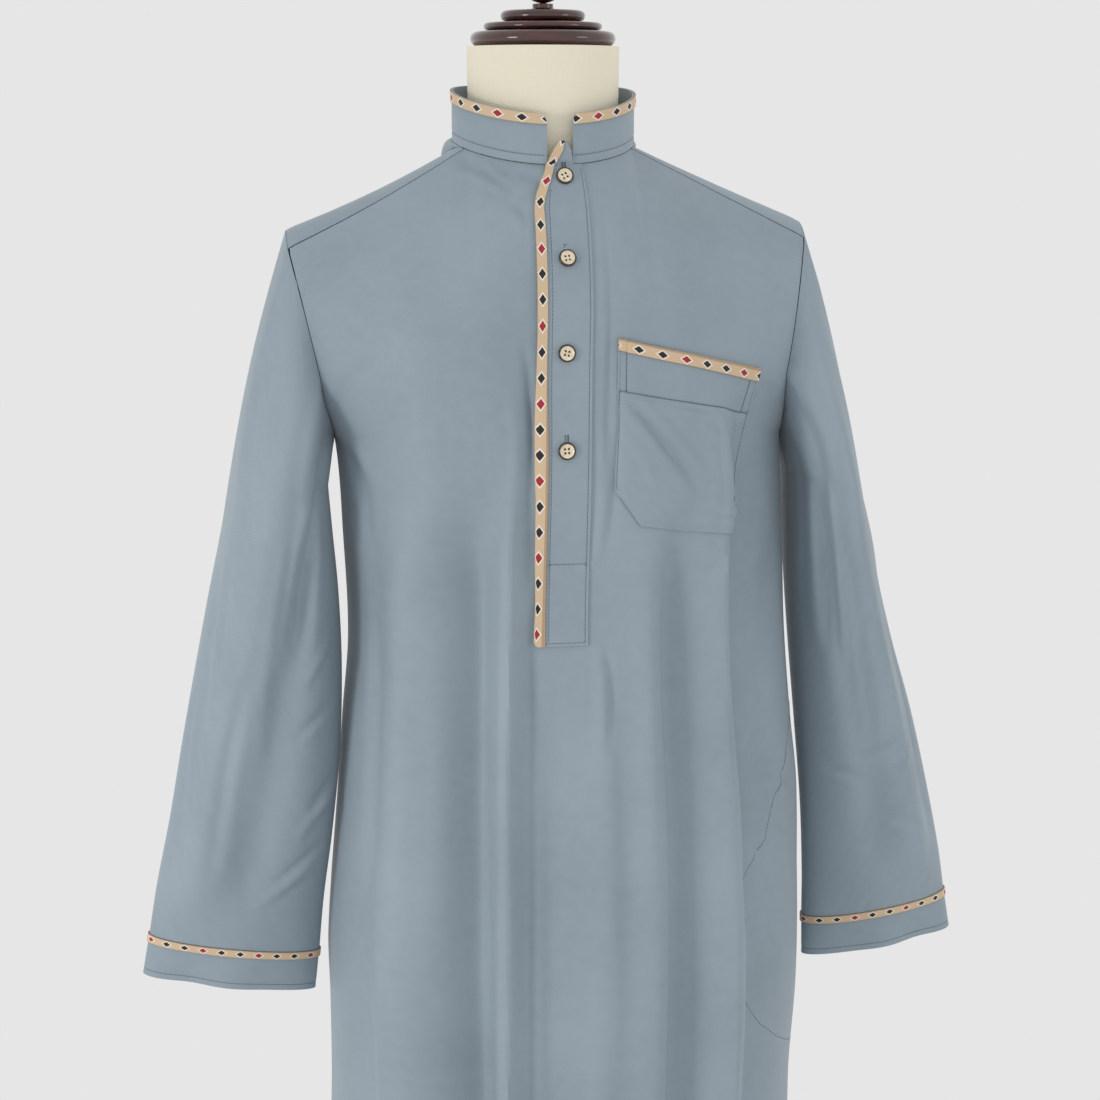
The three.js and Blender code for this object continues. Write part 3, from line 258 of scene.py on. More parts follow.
def creases_at(marks, column, height):
    """How far fine creases push the cloth: each is pinched on one side and fades out at both ends."""
    out = 0
    for c0, h0, c1, h1, width, depth in marks:
        length = math.hypot(c1 - c0, h1 - h0)
        share = ((column - c0) * (c1 - c0) + (height - h0) * (h1 - h0)) / length ** 2
        off = ((column - c0) * (h1 - h0) - (height - h0) * (c1 - c0)) / length / width
        off = off + CREASE_WANDER * np.sin(np.pi * CREASE_WAVES * share)
        fade = np.sin(np.pi * np.clip(share, 0, 1)) ** 0.7
        ridge = CREASE_PINCH * np.exp(-(off - PINCH_OFFSET) ** 2)
        out = out + depth * fade * (np.exp(-off * off) - ridge)
    return out


# Half width, depth before and behind the axis, mean height, tilt and dip of the neck opening.
NECK_HALF, NECK_FRONT, NECK_BACK = 75.0, 69.0, 66.0
NECK_HEIGHT, NECK_TILT, NECK_DIP = 1513.3, 12, 3.2
SHOULDER_ANGLE = math.radians(67)
SHOULDER_TIPS = np.array([(-214.0, -25, 1431), (218.0, -25, 1437)])
RIGHT_SEAM_SAG = 3


def neck_ring(angle):
    """The neck opening, by its angle from centre front towards the wearer's left."""
    depth = np.where(np.cos(angle) > 0, NECK_FRONT, NECK_BACK)
    height = NECK_HEIGHT - NECK_TILT * np.cos(angle) - NECK_DIP * np.cos(2 * angle)
    return np.stack([NECK_HALF * np.sin(angle), -depth * np.cos(angle), height], -1)


def shoulder_seam(share, side):
    """The forward shoulder seam from the neck (0) to its tip (1)."""
    start = neck_ring(side * SHOULDER_ANGLE)
    tip = np.where((side < 0)[..., None], SHOULDER_TIPS[0], SHOULDER_TIPS[1])
    seam = between(start, tip, share[..., None])
    seam[..., 2] -= np.where(side < 0, RIGHT_SEAM_SAG, 0) * np.sin(np.pi * share)
    return seam


def narrowed(column, height):
    """The columns under the flap close up towards the neck."""
    up = eased(*FLAP_TAPER, height)
    kept = 1 - np.where(column < 0, *FLAP_CLOSING) * up
    return np.where(np.abs(column) > FLAP_REACH, column, column * kept)


def beyond_neck(column):
    """Share of the way from the neck opening's end to the side edge."""
    return np.maximum(0, np.abs(column) - NECK_COLUMN) / (CHEST_HALF - NECK_COLUMN)


def fullness(column, flat):
    """Share of a section's depth at a column: rounded, or flatter where it lies over the chest."""
    share = np.minimum(1, np.abs(column / CHEST_HALF))
    return between(np.sqrt(1 - share ** ROUND_POWER), 1 - share ** FLAT_POWER, flat)


def front_low(row, column):
    """The front below the chest, by its sections and large folds."""
    edge, forward, flat = (read(FRONT_EDGE, field, row) for field in (1, 2, 3))
    forward = np.where(row > ARMHOLE_ROW, np.maximum(forward, 0), 0)
    flat = np.where(row > ARMHOLE_ROW, np.clip(flat, 0, 1), 0)
    height = between(row, edge, np.maximum(0, (np.abs(column) - LEVEL_COLUMN) / (CHEST_HALF - LEVEL_COLUMN)))
    half = read(BODY, 1, np.where(flat > 0, between(height, edge, flat), height))
    spread = np.minimum(NECK_COLUMN, np.abs(column)) + beyond_neck(column) * (half - NECK_COLUMN)
    across = between(np.abs(column) * half / CHEST_HALF, spread, flat)
    share = np.minimum(1, np.abs(column / CHEST_HALF))
    out, side = folds_at(FRONT_FOLDS, column, height)
    turn = column / CHEST_HALF * np.pi / 2
    x = (np.sign(column) * across + read(BODY, 4, height) * share ** 2
         + read(LEAN, 1, height) * (1 - share ** 2))
    y = -between(forward, read(BODY, 2, height), fullness(column, flat))
    return np.stack([x + side + np.sin(turn) * out, y - np.cos(turn) * out, height], -1)


def front_top(column):
    """The front's upper edge: the neck opening, then the shoulder seam."""
    narrow = narrowed(column, NECK_HEIGHT) / NECK_COLUMN * math.sin(SHOULDER_ANGLE) * NECK_HALF
    narrow = narrow + NECK_SHIFT * (1 - (column / NECK_COLUMN) ** 2)
    inner = neck_ring(np.arcsin(np.clip(narrow / NECK_HALF, -1, 1)))
    outer = shoulder_seam(beyond_neck(column), np.sign(column))
    return np.where((np.abs(column) > NECK_COLUMN)[..., None], outer, inner)


def front_point(row, column):
    """The front panel's middle surface, by row (its height at the centre) and column."""
    row, column = np.broadcast_arrays(np.asarray(row, float), np.asarray(column, float))
    low = front_low(np.minimum(row, CHEST), column)
    rise = np.clip((row - CHEST) / (NECK_ROW - CHEST), 0, 1)
    top = front_top(column)
    height = between(low[..., 2], top[..., 2], rise)
    shift = narrowed(column, height) - column - (narrowed(column, NECK_HEIGHT) - column) * rise
    shift = np.where(np.abs(column) <= FLAP_REACH, shift, 0)
    out, _ = folds_at(FRONT_FOLDS, column, height)
    x = between(low[..., 0], top[..., 0], rise) + shift
    y = between(top[..., 1], low[..., 1], 1 - rise ** CHEST_FALL) - out * (1 - rise) * eased(0, 0.25, rise)
    upper = np.stack([x, y, height], -1)
    return np.where((row > CHEST)[..., None], upper, low)


def face_out(grid, ring=False, facing=1):
    """The way out of the cloth at each point of a grid."""
    across = np.roll(grid, -1, 1) - np.roll(grid, 1, 1) if ring else np.gradient(grid, axis=1)
    out = np.cross(across, np.gradient(grid, axis=0)) * facing
    return out / np.maximum(np.linalg.norm(out, axis=2, keepdims=True), 1e-9)


def cloth_shell(name, grid, thick, material, keep=None, ring=False, facing=1, lift=0):
    """A closed shell of cloth about a grid of points in millimetres, its flat pattern as UV in metres."""
    out = face_out(grid, ring, facing)
    rows, across = grid.shape[:2]
    joined = np.concatenate([grid, grid[:, :1]], 1) if ring else grid
    run = np.cumsum(np.linalg.norm(np.diff(joined, axis=1), axis=2), 1)
    rise = np.cumsum(np.linalg.norm(np.diff(joined, axis=0), axis=2), 0)
    flat = np.zeros((rows, joined.shape[1], 2))
    flat[:, 1:, 0] = run
    flat[:, :, 0] -= flat[:, [joined.shape[1] // 2], 0]
    flat[1:, :, 1] = rise
    flat /= 1000
    cells = across if ring else across - 1
    r, c = np.meshgrid(np.arange(rows - 1), np.arange(cells), indexing="ij")
    if keep is not None:
        r, c = r[keep], c[keep]
    r, c = r.ravel(), c.ravel()
    corner_rows = np.stack([r, r, r + 1, r + 1], 1)
    corner_columns = np.stack([c, c + 1, c + 1, c], 1)
    if facing < 0:
        corner_rows, corner_columns = corner_rows[:, ::-1], corner_columns[:, ::-1]
    outer = corner_rows * across + corner_columns % across
    outer_uv = flat[corner_rows, corner_columns]
    count = rows * across
    starts, ends = outer.ravel(), np.roll(outer, -1, 1).ravel()
    uv_starts, uv_ends = outer_uv.reshape(-1, 2), np.roll(outer_uv, -1, 1).reshape(-1, 2)
    free = ~np.isin(starts * count + ends, ends * count + starts)
    a, b = starts[free], ends[free]
    rim = np.stack([b, a, a + count, b + count], 1)
    rim_uv = np.stack([uv_ends[free], uv_starts[free], uv_starts[free], uv_ends[free]], 1)
    faces = np.concatenate([outer, outer[:, ::-1] + count, rim])
    uv = np.concatenate([outer_uv, outer_uv[:, ::-1], rim_uv])
    points = np.concatenate([(grid + out * (lift + thick / 2)).reshape(-1, 3),
                             (grid + out * (lift - thick / 2)).reshape(-1, 3)]) / 1000
    used, faces = np.unique(faces, return_inverse=True)
    mesh = bpy.data.meshes.new(name)
    mesh.from_pydata(points[used].tolist(), [], faces.reshape(-1, 4).tolist())
    layer = mesh.uv_layers.new(name="Cloth")
    layer.data.foreach_set("uv", uv.ravel())
    mesh.shade_smooth()
    mesh.set_sharp_from_angle(angle=math.radians(60))
    mesh.materials.append(material)
    return add_object(name, mesh)


def maths(tree, operation, *values):
    """The result of one arithmetic node on values or sockets."""
    return add_node(tree, "ShaderNodeMath", dict(enumerate(values)), operation=operation).outputs[0]


def roughen(tree, shader, height, strength, deep):
    """A fine relief on the shader, so many metres deep."""
    bump = add_node(tree, "ShaderNodeBump", {"Height": height, "Strength": strength, "Distance": deep})
    tree.links.new(bump.outputs["Normal"], shader.inputs["Normal"])


def weave(tree, thread):
    """The crowns of a plain weave, 0 to 1, its yarn's slow unevenness and the flat cloth's place. thread is
    the spacing of its threads in metres."""
    place = add_node(tree, "ShaderNodeUVMap", uv_map="Cloth").outputs["UV"]
    uneven = noise(tree, 90, 3, place)
    axes = add_node(tree, "ShaderNodeSeparateXYZ", {"Vector": place})
    waves = []
    for axis in ("X", "Y"):
        turns = maths(tree, "MULTIPLY", axes.outputs[axis], math.pi / thread)
        waves.append(maths(tree, "SINE", maths(tree, "MULTIPLY_ADD", uneven, 3.0, turns)))
    crossed = maths(tree, "MULTIPLY", *waves)
    return maths(tree, "MULTIPLY_ADD", crossed, 0.5, 0.5), uneven, place


# Polyester-viscose poplin: smooth plain weave with a low satin sheen. Its threads lie 0.25 mm apart, drawn
# 1.1 mm apart so that they show.
tree, shader, poplin = new_material("poplin", "#8C9AA4", Roughness=0.62, Specular_IOR_Level=0.35,
                                    Sheen_Weight=0.22, Sheen_Roughness=0.45)
crown, uneven, flat_place = weave(tree, 0.0011)
# Painted shade: the threads' crowns are painted lighter and the hollows between them darker, mixed with the
# yarn's random tone.
thread_shaded_tone = maths(tree, "MULTIPLY_ADD", crown, 0.35, noise(tree, 7, 2, flat_place))
thread_shaded_tone = maths(tree, "MULTIPLY_ADD", uneven, 0.35, thread_shaded_tone)
shade(tree, shader, thread_shaded_tone, "#82909A", "#94A2AC", 0.35)
roughen(tree, shader, crown, 0.25, 0.0002)

CLOTH = 1.2
TAPE = 1.0
SEAM_ROLL = 0.7
SLIT_FOOT, SLIT_MIDDLE, SLIT_HALF = 1219, -1.5, 3
front_rows = np.concatenate([np.arange(HEM, 900, 7.0), np.arange(900, CHEST, 4.5),
                             np.linspace(CHEST, NECK_ROW, 62)])
front_columns = np.linspace(-CHEST_HALF, CHEST_HALF, 159)
row, column = np.meshgrid(front_rows, front_columns, indexing="ij")


def hem_turn(row):
    """The turned-up hem is thicker than the cloth above its stitches."""
    return 0.5 * eased(HEM + HEM_DEPTH + 2, HEM + HEM_DEPTH - 1, row)


def front_surface(row, column):
    """The front panel with its fine creases, its edges rolled into the seams and its hem turned up."""
    row, column = np.broadcast_arrays(np.asarray(row, float), np.asarray(column, float))
    grid = front_point(row, column)
    from_side, from_top = CHEST_HALF - np.abs(column), NECK_ROW - row
    roll = -SEAM_ROLL * (np.exp(-(from_side / 3) ** 2) + np.exp(-(from_top / 4) ** 2))
    still = eased(0, 8, from_side) * eased(0, 10, from_top)
    out = creases_at(FRONT_CREASES, column, grid[..., 2]) * still + roll + hem_turn(row)
    turn = column / CHEST_HALF * np.pi / 2
    away = np.stack([np.sin(turn), -np.cos(turn), 0 * turn], -1)
    grid = grid + away * out[..., None]
    grid[..., 1] -= np.where((from_side < 1) & (row <= ARMHOLE_ROW), SIDE_GAP, 0)
    return grid


front_grid = front_surface(row, column)
slit = (np.abs(column[:-1, :-1] - SLIT_MIDDLE) < SLIT_HALF) & (row[:-1, :-1] > SLIT_FOOT)
front = cloth_shell("thobe_front", front_grid, CLOTH, poplin, keep=~slit)
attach(front, "root")
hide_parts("front")


# Back panel: the same poplin, cut in one with the back of the shoulders, which it wraps to the forward seam.
# No seam crosses it.
BACK_EDGE = np.array([(1272, 0, 0), (1285, 26, 0.4), (1303, 50, 0.8), (1325, 66, 1)], float)
BACK_TOP = 1325.0
BACK_FOLDS = [
    (0, 14, 24, -8, 0, 60, 1280), (46, 62, 18, 8, 0, 60, 1240), (92, 108, 20, -8, 0, 60, 1330),
    (140, 150, 18, 6, 0, 60, 1200), (-52, -44, 18, 9, 0, 60, 1300), (-98, -92, 22, -9, 0, 60, 1210),
    (-146, -140, 18, 6, 0, 60, 1320),
]
BACK_CREASES = [
    (186, 1300, 140, 1345, 6, -3.1), (188, 1285, 150, 1240, 5, 2.8), (182, 1262, 160, 1180, 5, -2.8),
    (-186, 1300, -136, 1350, 6, -3.4), (-188, 1284, -156, 1236, 5, 2.8), (-180, 1258, -166, 1170, 5, -2.8),
    (20, 1200, 26, 860, 8, 2.5), (-22, 1150, -20, 700, 8, -2.5), (74, 1120, 80, 640, 7, 2.5),
    (-74, 1060, -72, 560, 7, -2.8), (118, 1010, 126, 420, 8, 2.5), (-122, 960, -118, 380, 8, 2.5),
    (166, 1100, 168, 700, 7, -2.8), (-166, 1120, -164, 760, 7, 2.8), (36, 620, 42, 140, 8, -2.5),
    (-30, 560, -24, 150, 8, 2.5), (0, 1380, 0, 1210, 10, -2.0), (-60, 1400, -48, 1230, 9, 2.0),
    (58, 1396, 50, 1250, 9, -1.8),
]
# The way over the shoulder, in millimetres. From the neck: out, back at the seam, and up at the middle and
# at the seam. From the shoulder seam, at the neck and at its tip: out, back and up.
NECK_OUT, NECK_BEHIND, NECK_UP = 16, 40, (-18, 10)
SEAM_OUT, SEAM_BEHIND, SEAM_UP = (13, 2), (38, 46), (13, 46)
BACK_STEEP, BACK_DRAW = 0.72, 0.35


def back_low(row, column):
    """The back below the shoulder blades, by its sections, large folds and creases."""
    forward = np.where(row > ARMPIT, np.maximum(read(BACK_EDGE, 1, row), 0), 0)
    flat = np.where(row > ARMPIT, np.clip(read(BACK_EDGE, 2, row), 0, 1), 0)
    out, _ = folds_at(BACK_FOLDS, column, row)
    out = out + creases_at(BACK_CREASES, column, row) * eased(0, 8, CHEST_HALF - np.abs(column))
    turn = column / CHEST_HALF * np.pi / 2
    x = column * read(BODY, 1, row) / CHEST_HALF + read(BODY, 4, row)
    y = between(forward, read(BODY, 3, row), fullness(column, flat))
    return np.stack([x + np.sin(turn) * out, y + np.cos(turn) * out, row + 0 * x], -1)


def back_point(row, column):
    """The back panel: sections up to the chest, then a curve over the shoulder to the forward seam."""
    row, column = np.broadcast_arrays(np.asarray(row, float), np.asarray(column, float))
    low = back_low(np.minimum(row, BACK_TOP), column)
    side = np.where(column < 0, -1.0, 1.0)
    neck_share = np.minimum(1, np.abs(column) / NECK_COLUMN)
    angle = side * between(np.pi, SHOULDER_ANGLE, neck_share)
    neck_way = np.stack([np.sin(angle) * NECK_OUT, -np.cos(angle) * NECK_OUT + neck_share ** 2 * NECK_BEHIND,
                         between(*NECK_UP, neck_share)], -1)
    share = beyond_neck(column)
    seam_way = np.stack([side * between(*SEAM_OUT, share ** 0.5), between(*SEAM_BEHIND, share),
                         between(*SEAM_UP, share)], -1)
    on_seam = (np.abs(column) > NECK_COLUMN)[..., None]
    end = np.where(on_seam, shoulder_seam(share, side), neck_ring(angle))
    way = np.where(on_seam, seam_way, neck_way)
    before = end + way
    near_seam = (np.abs(column) > NECK_COLUMN - 1)[..., None]
    end = end + np.where(near_seam, way / np.linalg.norm(way, axis=-1, keepdims=True), 0)
    after = low.copy()
    after[..., 2] = between(low[..., 2], end[..., 2], BACK_STEEP)
    after[..., 0] = between(low[..., 0], before[..., 0], BACK_DRAW)
    t = np.clip((row - BACK_TOP) / (NECK_ROW - BACK_TOP), 0, 1)[..., None]
    curve = (low * (1 - t) ** 3 + after * 3 * t * (1 - t) ** 2 + before * 3 * t * t * (1 - t) + end * t ** 3)
    return np.where((row > BACK_TOP)[..., None], curve, low)


back_rows = np.concatenate([np.arange(HEM, BACK_TOP, 6.0), np.linspace(BACK_TOP, NECK_ROW, 56)])
back_columns = np.linspace(CHEST_HALF, -CHEST_HALF, 115)
row, column = np.meshgrid(back_rows, back_columns, indexing="ij")
back_grid = back_point(row, column)
from_side = CHEST_HALF - np.abs(column)
back_roll = hem_turn(row) - SEAM_ROLL * np.exp(-(from_side / 3) ** 2)
back_grid = back_grid + face_out(back_grid) * back_roll[..., None]
back_grid[..., 1] += np.where((from_side < 1) & (row <= ARMPIT), SIDE_GAP, 0)
back = cloth_shell("thobe_back", back_grid, CLOTH, poplin)
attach(back, "root")
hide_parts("back")


# Sleeves: set-in, cut in one piece and closed along the underarm. They hang empty, wide at the armhole and
# narrowing a little to the cuff.
SLEEVES = {
    # height, outer and inner edge from the axis, forward shift, half depth, slope of the ring
    "right": (-1, np.array([
        (847, 338, 196, 8, 28, 0.14), (890, 331, 192, 10, 34, 0.13), (950, 319, 184, 14, 42, 0.11),
        (1020, 307, 177, 18, 51, 0.08), (1090, 294, 175, 20, 59, 0.05), (1150, 282, 177, 18, 67, 0.03),
        (1200, 271, 181, 12, 76, 0.01), (1238, 264, 184, 6, 84, 0)], float)),
    "left": (1, np.array([
        (851, 361, 233, -2, 29, 0.15), (890, 355, 233, -2, 35, 0.14), (950, 343, 231, -3, 45, 0.12),
        (1020, 326, 225, -2, 55, 0.09), (1090, 305, 219, 0, 66, 0.06), (1150, 289, 215, 2, 75, 0.03),
        (1200, 276, 213, 4, 82, 0.01), (1238, 266, 212, 4, 86, 0)], float)),
}
# Angle in degrees from the body side by way of the front, at the armpit and at the cuff, then half width,
# out, and the heights between which it shows.
SLEEVE_FOLDS = [
    (62, 95, 16, -6, 860, 1230), (100, 125, 16, 5, 850, 1300), (150, 152, 13, -4, 880, 1180),
    (240, 232, 18, -6, 870, 1240), (290, 285, 16, 4, 860, 1180),
]
SLEEVE_CREASES = {
    "right": [
        (30, 1425, 44, 1180, 10, -4.5), (60, 1430, 68, 1140, 10, 3.5), (96, 1400, 104, 1160, 12, -2.0),
        (150, 1390, 146, 1180, 12, 2.0), (232, 1400, 236, 1180, 12, -2.5), (290, 1390, 288, 1200, 10, 2.5),
        (20, 1000, 52, 972, 5, -3.1), (24, 985, 60, 950, 5, 2.3), (30, 1065, 70, 1035, 4, -2.3),
        (34, 1120, 66, 1078, 4, 2.0), (28, 945, 74, 905, 4, -2.3), (36, 925, 84, 885, 4, 1.8),
        (46, 1245, 74, 1090, 7, -5.7), (64, 1235, 92, 1080, 6, 3.4), (110, 1090, 118, 900, 6, -4.2),
        (88, 1200, 98, 1010, 6, 2.9),
        (150, 1190, 140, 1030, 5, 2.0), (166, 1080, 158, 930, 5, -2.1), (228, 1220, 236, 1020, 6, -2.6),
        (262, 1150, 266, 960, 6, 2.3), (300, 1210, 306, 1060, 6, -2.6), (330, 1020, 300, 985, 5, -2.6),
    ],
    "left": [
        (34, 1428, 42, 1100, 7, 3.5), (54, 1428, 62, 1210, 9, -4.0), (96, 1400, 100, 1180, 12, 2.0),
        (146, 1390, 142, 1190, 12, -2.0), (234, 1400, 230, 1180, 12, 2.5), (292, 1390, 288, 1200, 10, -2.5),
        (62, 1245, 74, 1080, 5, 4.7), (46, 1240, 56, 1090, 6, -4.7), (84, 1190, 96, 990, 7, -3.4),
        (120, 1010, 78, 990, 4, -2.3), (132, 1000, 96, 978, 4, 2.0), (40, 985, 80, 975, 4, -2.6),
        (96, 936, 130, 920, 4, -1.8), (110, 1160, 122, 960, 6, 2.0), (150, 1120, 146, 930, 6, -2.3),
        (226, 1210, 232, 1010, 6, 2.6), (258, 1160, 262, 950, 6, -2.6), (300, 1220, 304, 1040, 6, 2.3),
        (332, 1010, 300, 980, 5, -2.6),
    ],
}
SLEEVE_HEAD, SLEEVE_END = 1430.0, 847
SLEEVE_BULGE = 9
RING_STEPS = 150
ring_angle = np.arange(RING_STEPS) / RING_STEPS * 2 * np.pi


def armhole(side):
    """The armhole up the front edge and down the back edge, in equal steps."""
    front_edge = front_point(np.linspace(ARMHOLE_ROW, NECK_ROW, 60), np.full(60, side * CHEST_HALF))
    back_edge = back_point(np.linspace(NECK_ROW, ARMPIT, 60), np.full(60, side * CHEST_HALF))
    line = np.concatenate([front_edge, back_edge, front_edge[:1]])
    run = np.concatenate([[0], np.cumsum(np.linalg.norm(np.diff(line, axis=0), axis=1))])
    stops = np.arange(RING_STEPS) / RING_STEPS * run[-1]
    return np.stack([np.interp(stops, run, line[:, i]) for i in range(3)], -1)


def sleeve_ring(table, side, height, marks):
    """A ring of the hanging sleeve: angle 0 is next to the body, 90 degrees is the front."""
    outer, inner, forward, deep, slope = (read(table, field, height) for field in (1, 2, 3, 4, 5))
    centre, half = (outer + inner) / 2, (outer - inner) / 2
    down = 1 - (height - SLEEVE_END) / (ARMPIT - SLEEVE_END)
    degrees = np.degrees(ring_angle)
    out = creases_at(marks, degrees, height) * eased(850, 870, height)
    for armpit, cuff, width, push, low, high in SLEEVE_FOLDS:
        reach = (degrees - between(armpit, cuff, down)) / width
        fade = eased(high, high - 60, height) * eased(low, low + 60, height)
        out = out + push * np.exp(-reach * reach) * fade
    across = -np.cos(ring_angle) * half
    return np.stack([side * (centre + across * (1 + out / half)),
                     -forward - np.sin(ring_angle) * (deep + out), height + slope * across], -1)


def sleeve_rings(name):
    """The sleeve from the armhole, over its first rounded stretch, down to its end."""
    side, table = SLEEVES[name]
    high = (1 - np.cos(ring_angle)) / 2
    start = armhole(side)
    start[:, 0] += side * between(0.8, 0.2, high)
    start[:, 2] -= 0.5 * high
    first = sleeve_ring(table, side, table[-1, 0], [])
    rings = []
    for share in np.linspace(0, 1, 44, endpoint=False):
        bulge = SLEEVE_BULGE * math.sin(share * math.pi)
        height = between(SLEEVE_HEAD, table[-1, 0], share)
        marks = creases_at(SLEEVE_CREASES[name], np.degrees(ring_angle), height)
        push = marks * eased(0, 0.15, share)
        ring = between(start, first, share)
        ring[:, 0] += side * (bulge * high * 0.5 - push * np.cos(ring_angle))
        ring[:, 1] -= (bulge + push) * np.sin(ring_angle)
        rings.append(ring)
    for height in np.linspace(table[-1, 0], table[0, 0], 100):
        rings.append(sleeve_ring(table, side, height, SLEEVE_CREASES[name]))
    return np.array(rings)


sleeves = {}
for name, flat, area in (("right", (0.52, 0.62), 0.19), ("left", (0.50, 0.62), 0.18)):
    side, table = SLEEVES[name]
    rings = sleeve_rings(name)
    sleeves[name] = rings
    sleeve = cloth_shell("thobe_sleeve_" + name, rings, CLOTH, poplin, ring=True, facing=-side)
    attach(sleeve, "root")
    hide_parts("sleeve_" + name)


# Cuffs: a band of poplin below each sleeve, with a narrow woven tape sewn on its upper edge.
CUFF_LENGTH = 36.0
CUFF_TAPE = 6.5
CUFF_GAP = 0.4
CUFF_STITCH = 31
LOZENGE_PITCH = 3.1


def cuff_rings(name, lengths):
    """The cuff goes on along the sleeve's last stretch."""
    side, table = SLEEVES[name]
    last = sleeves[name][-1]
    earlier = sleeve_ring(table, side, table[0, 0] + 65, [])
    way = last - earlier
    way /= np.linalg.norm(way, axis=1, keepdims=True)
    return np.array([last + way * length for length in lengths])


def woven_tape(name, lozenge, width):
    """Narrow beige tape: a plain ground with a row of long lozenges, two charcoal and one brick red by turns,
    each outlined in ivory, as old woven braids have. lozenge is its half length in metres."""
    tree, shader, tape = new_material(name, "#D6BC9C", Roughness=0.75, Specular_IOR_Level=0.25,
                                      Sheen_Weight=0.15)
    crown, _, place = weave(tree, 0.0009)
    axes = add_node(tree, "ShaderNodeSeparateXYZ", {"Vector": place})
    cell = maths(tree, "DIVIDE", axes.outputs["X"], lozenge * LOZENGE_PITCH)
    from_middle = maths(tree, "ABSOLUTE", maths(tree, "SUBTRACT", maths(tree, "FRACT", cell), 0.5))
    along = maths(tree, "MULTIPLY", from_middle, LOZENGE_PITCH)
    up = maths(tree, "ABSOLUTE", maths(tree, "SUBTRACT", axes.outputs["Y"], width / 2))
    away = maths(tree, "MULTIPLY_ADD", up, 1 / (width * 0.5), along)
    turn = maths(tree, "FLOORED_MODULO", maths(tree, "FLOOR", cell), 3)
    turn = maths(tree, "GREATER_THAN", turn, 1.5)
    colours = []
    for dark in ("#2E2C2B", "#A8313B"):
        ramp = add_node(tree, "ShaderNodeValToRGB", {"Fac": away})
        ramp.color_ramp.interpolation = "CONSTANT"
        ramp.color_ramp.elements[0].color = linear(dark)
        ramp.color_ramp.elements[1].position = 0.93
        ramp.color_ramp.elements[1].color = linear("#D6BC9C")
        ramp.color_ramp.elements.new(0.66).color = linear("#EFE6D8")
        colours.append(ramp.outputs["Color"])
    ground = add_node(tree, "ShaderNodeMixRGB", {"Fac": turn, "Color1": colours[0], "Color2": colours[1]})
    edge = maths(tree, "GREATER_THAN", up, width * 0.46)
    edged = add_node(tree, "ShaderNodeMixRGB", {"Fac": edge, "Color1": ground.outputs["Color"],
                                                "Color2": linear("#B79A78")})
    # Painted shade between the threads: the tape is darker in the weave's hollows and lighter on its crowns.
    thread_shaded_tone = add_node(tree, "ShaderNodeMapRange", {"Value": crown, "To Min": 0.88, "To Max": 1.04})
    shaded = add_node(tree, "ShaderNodeVectorMath", {0: edged.outputs["Color"], 1: thread_shaded_tone.outputs[0]},
                      operation="MULTIPLY")
    tree.links.new(shaded.outputs[0], shader.inputs["Base Color"])
    roughen(tree, shader, crown, 0.35, 0.0002)
    return tape


# Cotton-polyester woven tape, 6.5 mm wide.
cuff_braid = woven_tape("narrow_woven_tape", 0.0050, CUFF_TAPE / 1000)
for name, length in (("right", 0.33), ("left", 0.31)):
    facing = -SLEEVES[name][0]
    lengths = np.linspace(CUFF_GAP, CUFF_LENGTH, 16)
    band_rings = cuff_rings(name, lengths)
    near_edge = np.abs(lengths - CUFF_STITCH) < 1.3
    band_rings = band_rings - face_out(band_rings, True, facing) * (near_edge * 0.4)[:, None, None]
    band = cloth_shell("thobe_cuff_" + name, band_rings, CLOTH, poplin, ring=True, facing=facing)
    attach(band, "root")
    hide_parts("cuff_band_" + name)
    tape_rings = cuff_rings(name, np.linspace(CUFF_GAP, CUFF_TAPE + CUFF_GAP, 6))
    tape = cloth_shell("thobe_cuff_tape_" + name, tape_rings, TAPE, cuff_braid, ring=True, facing=facing,
                       lift=1.45)
    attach(tape, "root")
    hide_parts("cuff_trim_" + name)


# Collar: a stand-up band of double poplin, open at centre front with rounded upper corners, topstitched above
# its seam and bound along its upper edge with woven tape.
COLLAR_HEIGHT = 40.0
COLLAR_TAPE = 8.5
COLLAR_STITCH = 6.6
COLLAR_HALF_GAP, COLLAR_GAP_SHIFT = 10.5, 2.4
COLLAR_CORNERS = (5.5, 8.4)
COLLAR_SEAM_GAP = 1.1
COLLAR_FROM = math.asin((COLLAR_HALF_GAP + COLLAR_GAP_SHIFT) / NECK_HALF)
COLLAR_TO = 2 * math.pi - math.asin((COLLAR_HALF_GAP - COLLAR_GAP_SHIFT) / NECK_HALF)


def collar_grid(levels):
    """The collar's band at levels above its seam, with fine steps at its rounded ends."""
    angles = np.concatenate([COLLAR_FROM + np.linspace(0, 0.19, 20),
                             np.linspace(COLLAR_FROM + 0.19, COLLAR_TO - 0.19, 200)[1:-1],
                             COLLAR_TO - np.linspace(0.19, 0, 20)])
    level, angle = np.meshgrid(levels, angles, indexing="ij")
    run = np.minimum(angle - COLLAR_FROM, COLLAR_TO - angle) * NECK_FRONT
    corner = np.where(angle < math.pi, *COLLAR_CORNERS)
    short = np.clip(corner - run, 0, corner)
    drop = corner - np.sqrt(corner ** 2 - short ** 2)
    grid = neck_ring(angle)
    grid[..., 2] += COLLAR_SEAM_GAP + level - drop * np.clip((level - COLLAR_HEIGHT) / COLLAR_TAPE + 1, 0, 1)
    stitched = -0.8 * np.exp(-((level - COLLAR_STITCH) / 1.0) ** 2)
    return grid + face_out(grid) * stitched[..., None]


collar_levels = np.unique(np.concatenate([np.linspace(0, COLLAR_HEIGHT, 21), np.linspace(4.6, 8.6, 9)]))
collar = cloth_shell("thobe_collar", collar_grid(collar_levels), 1.3, poplin)
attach(collar, "root")
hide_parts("collar")

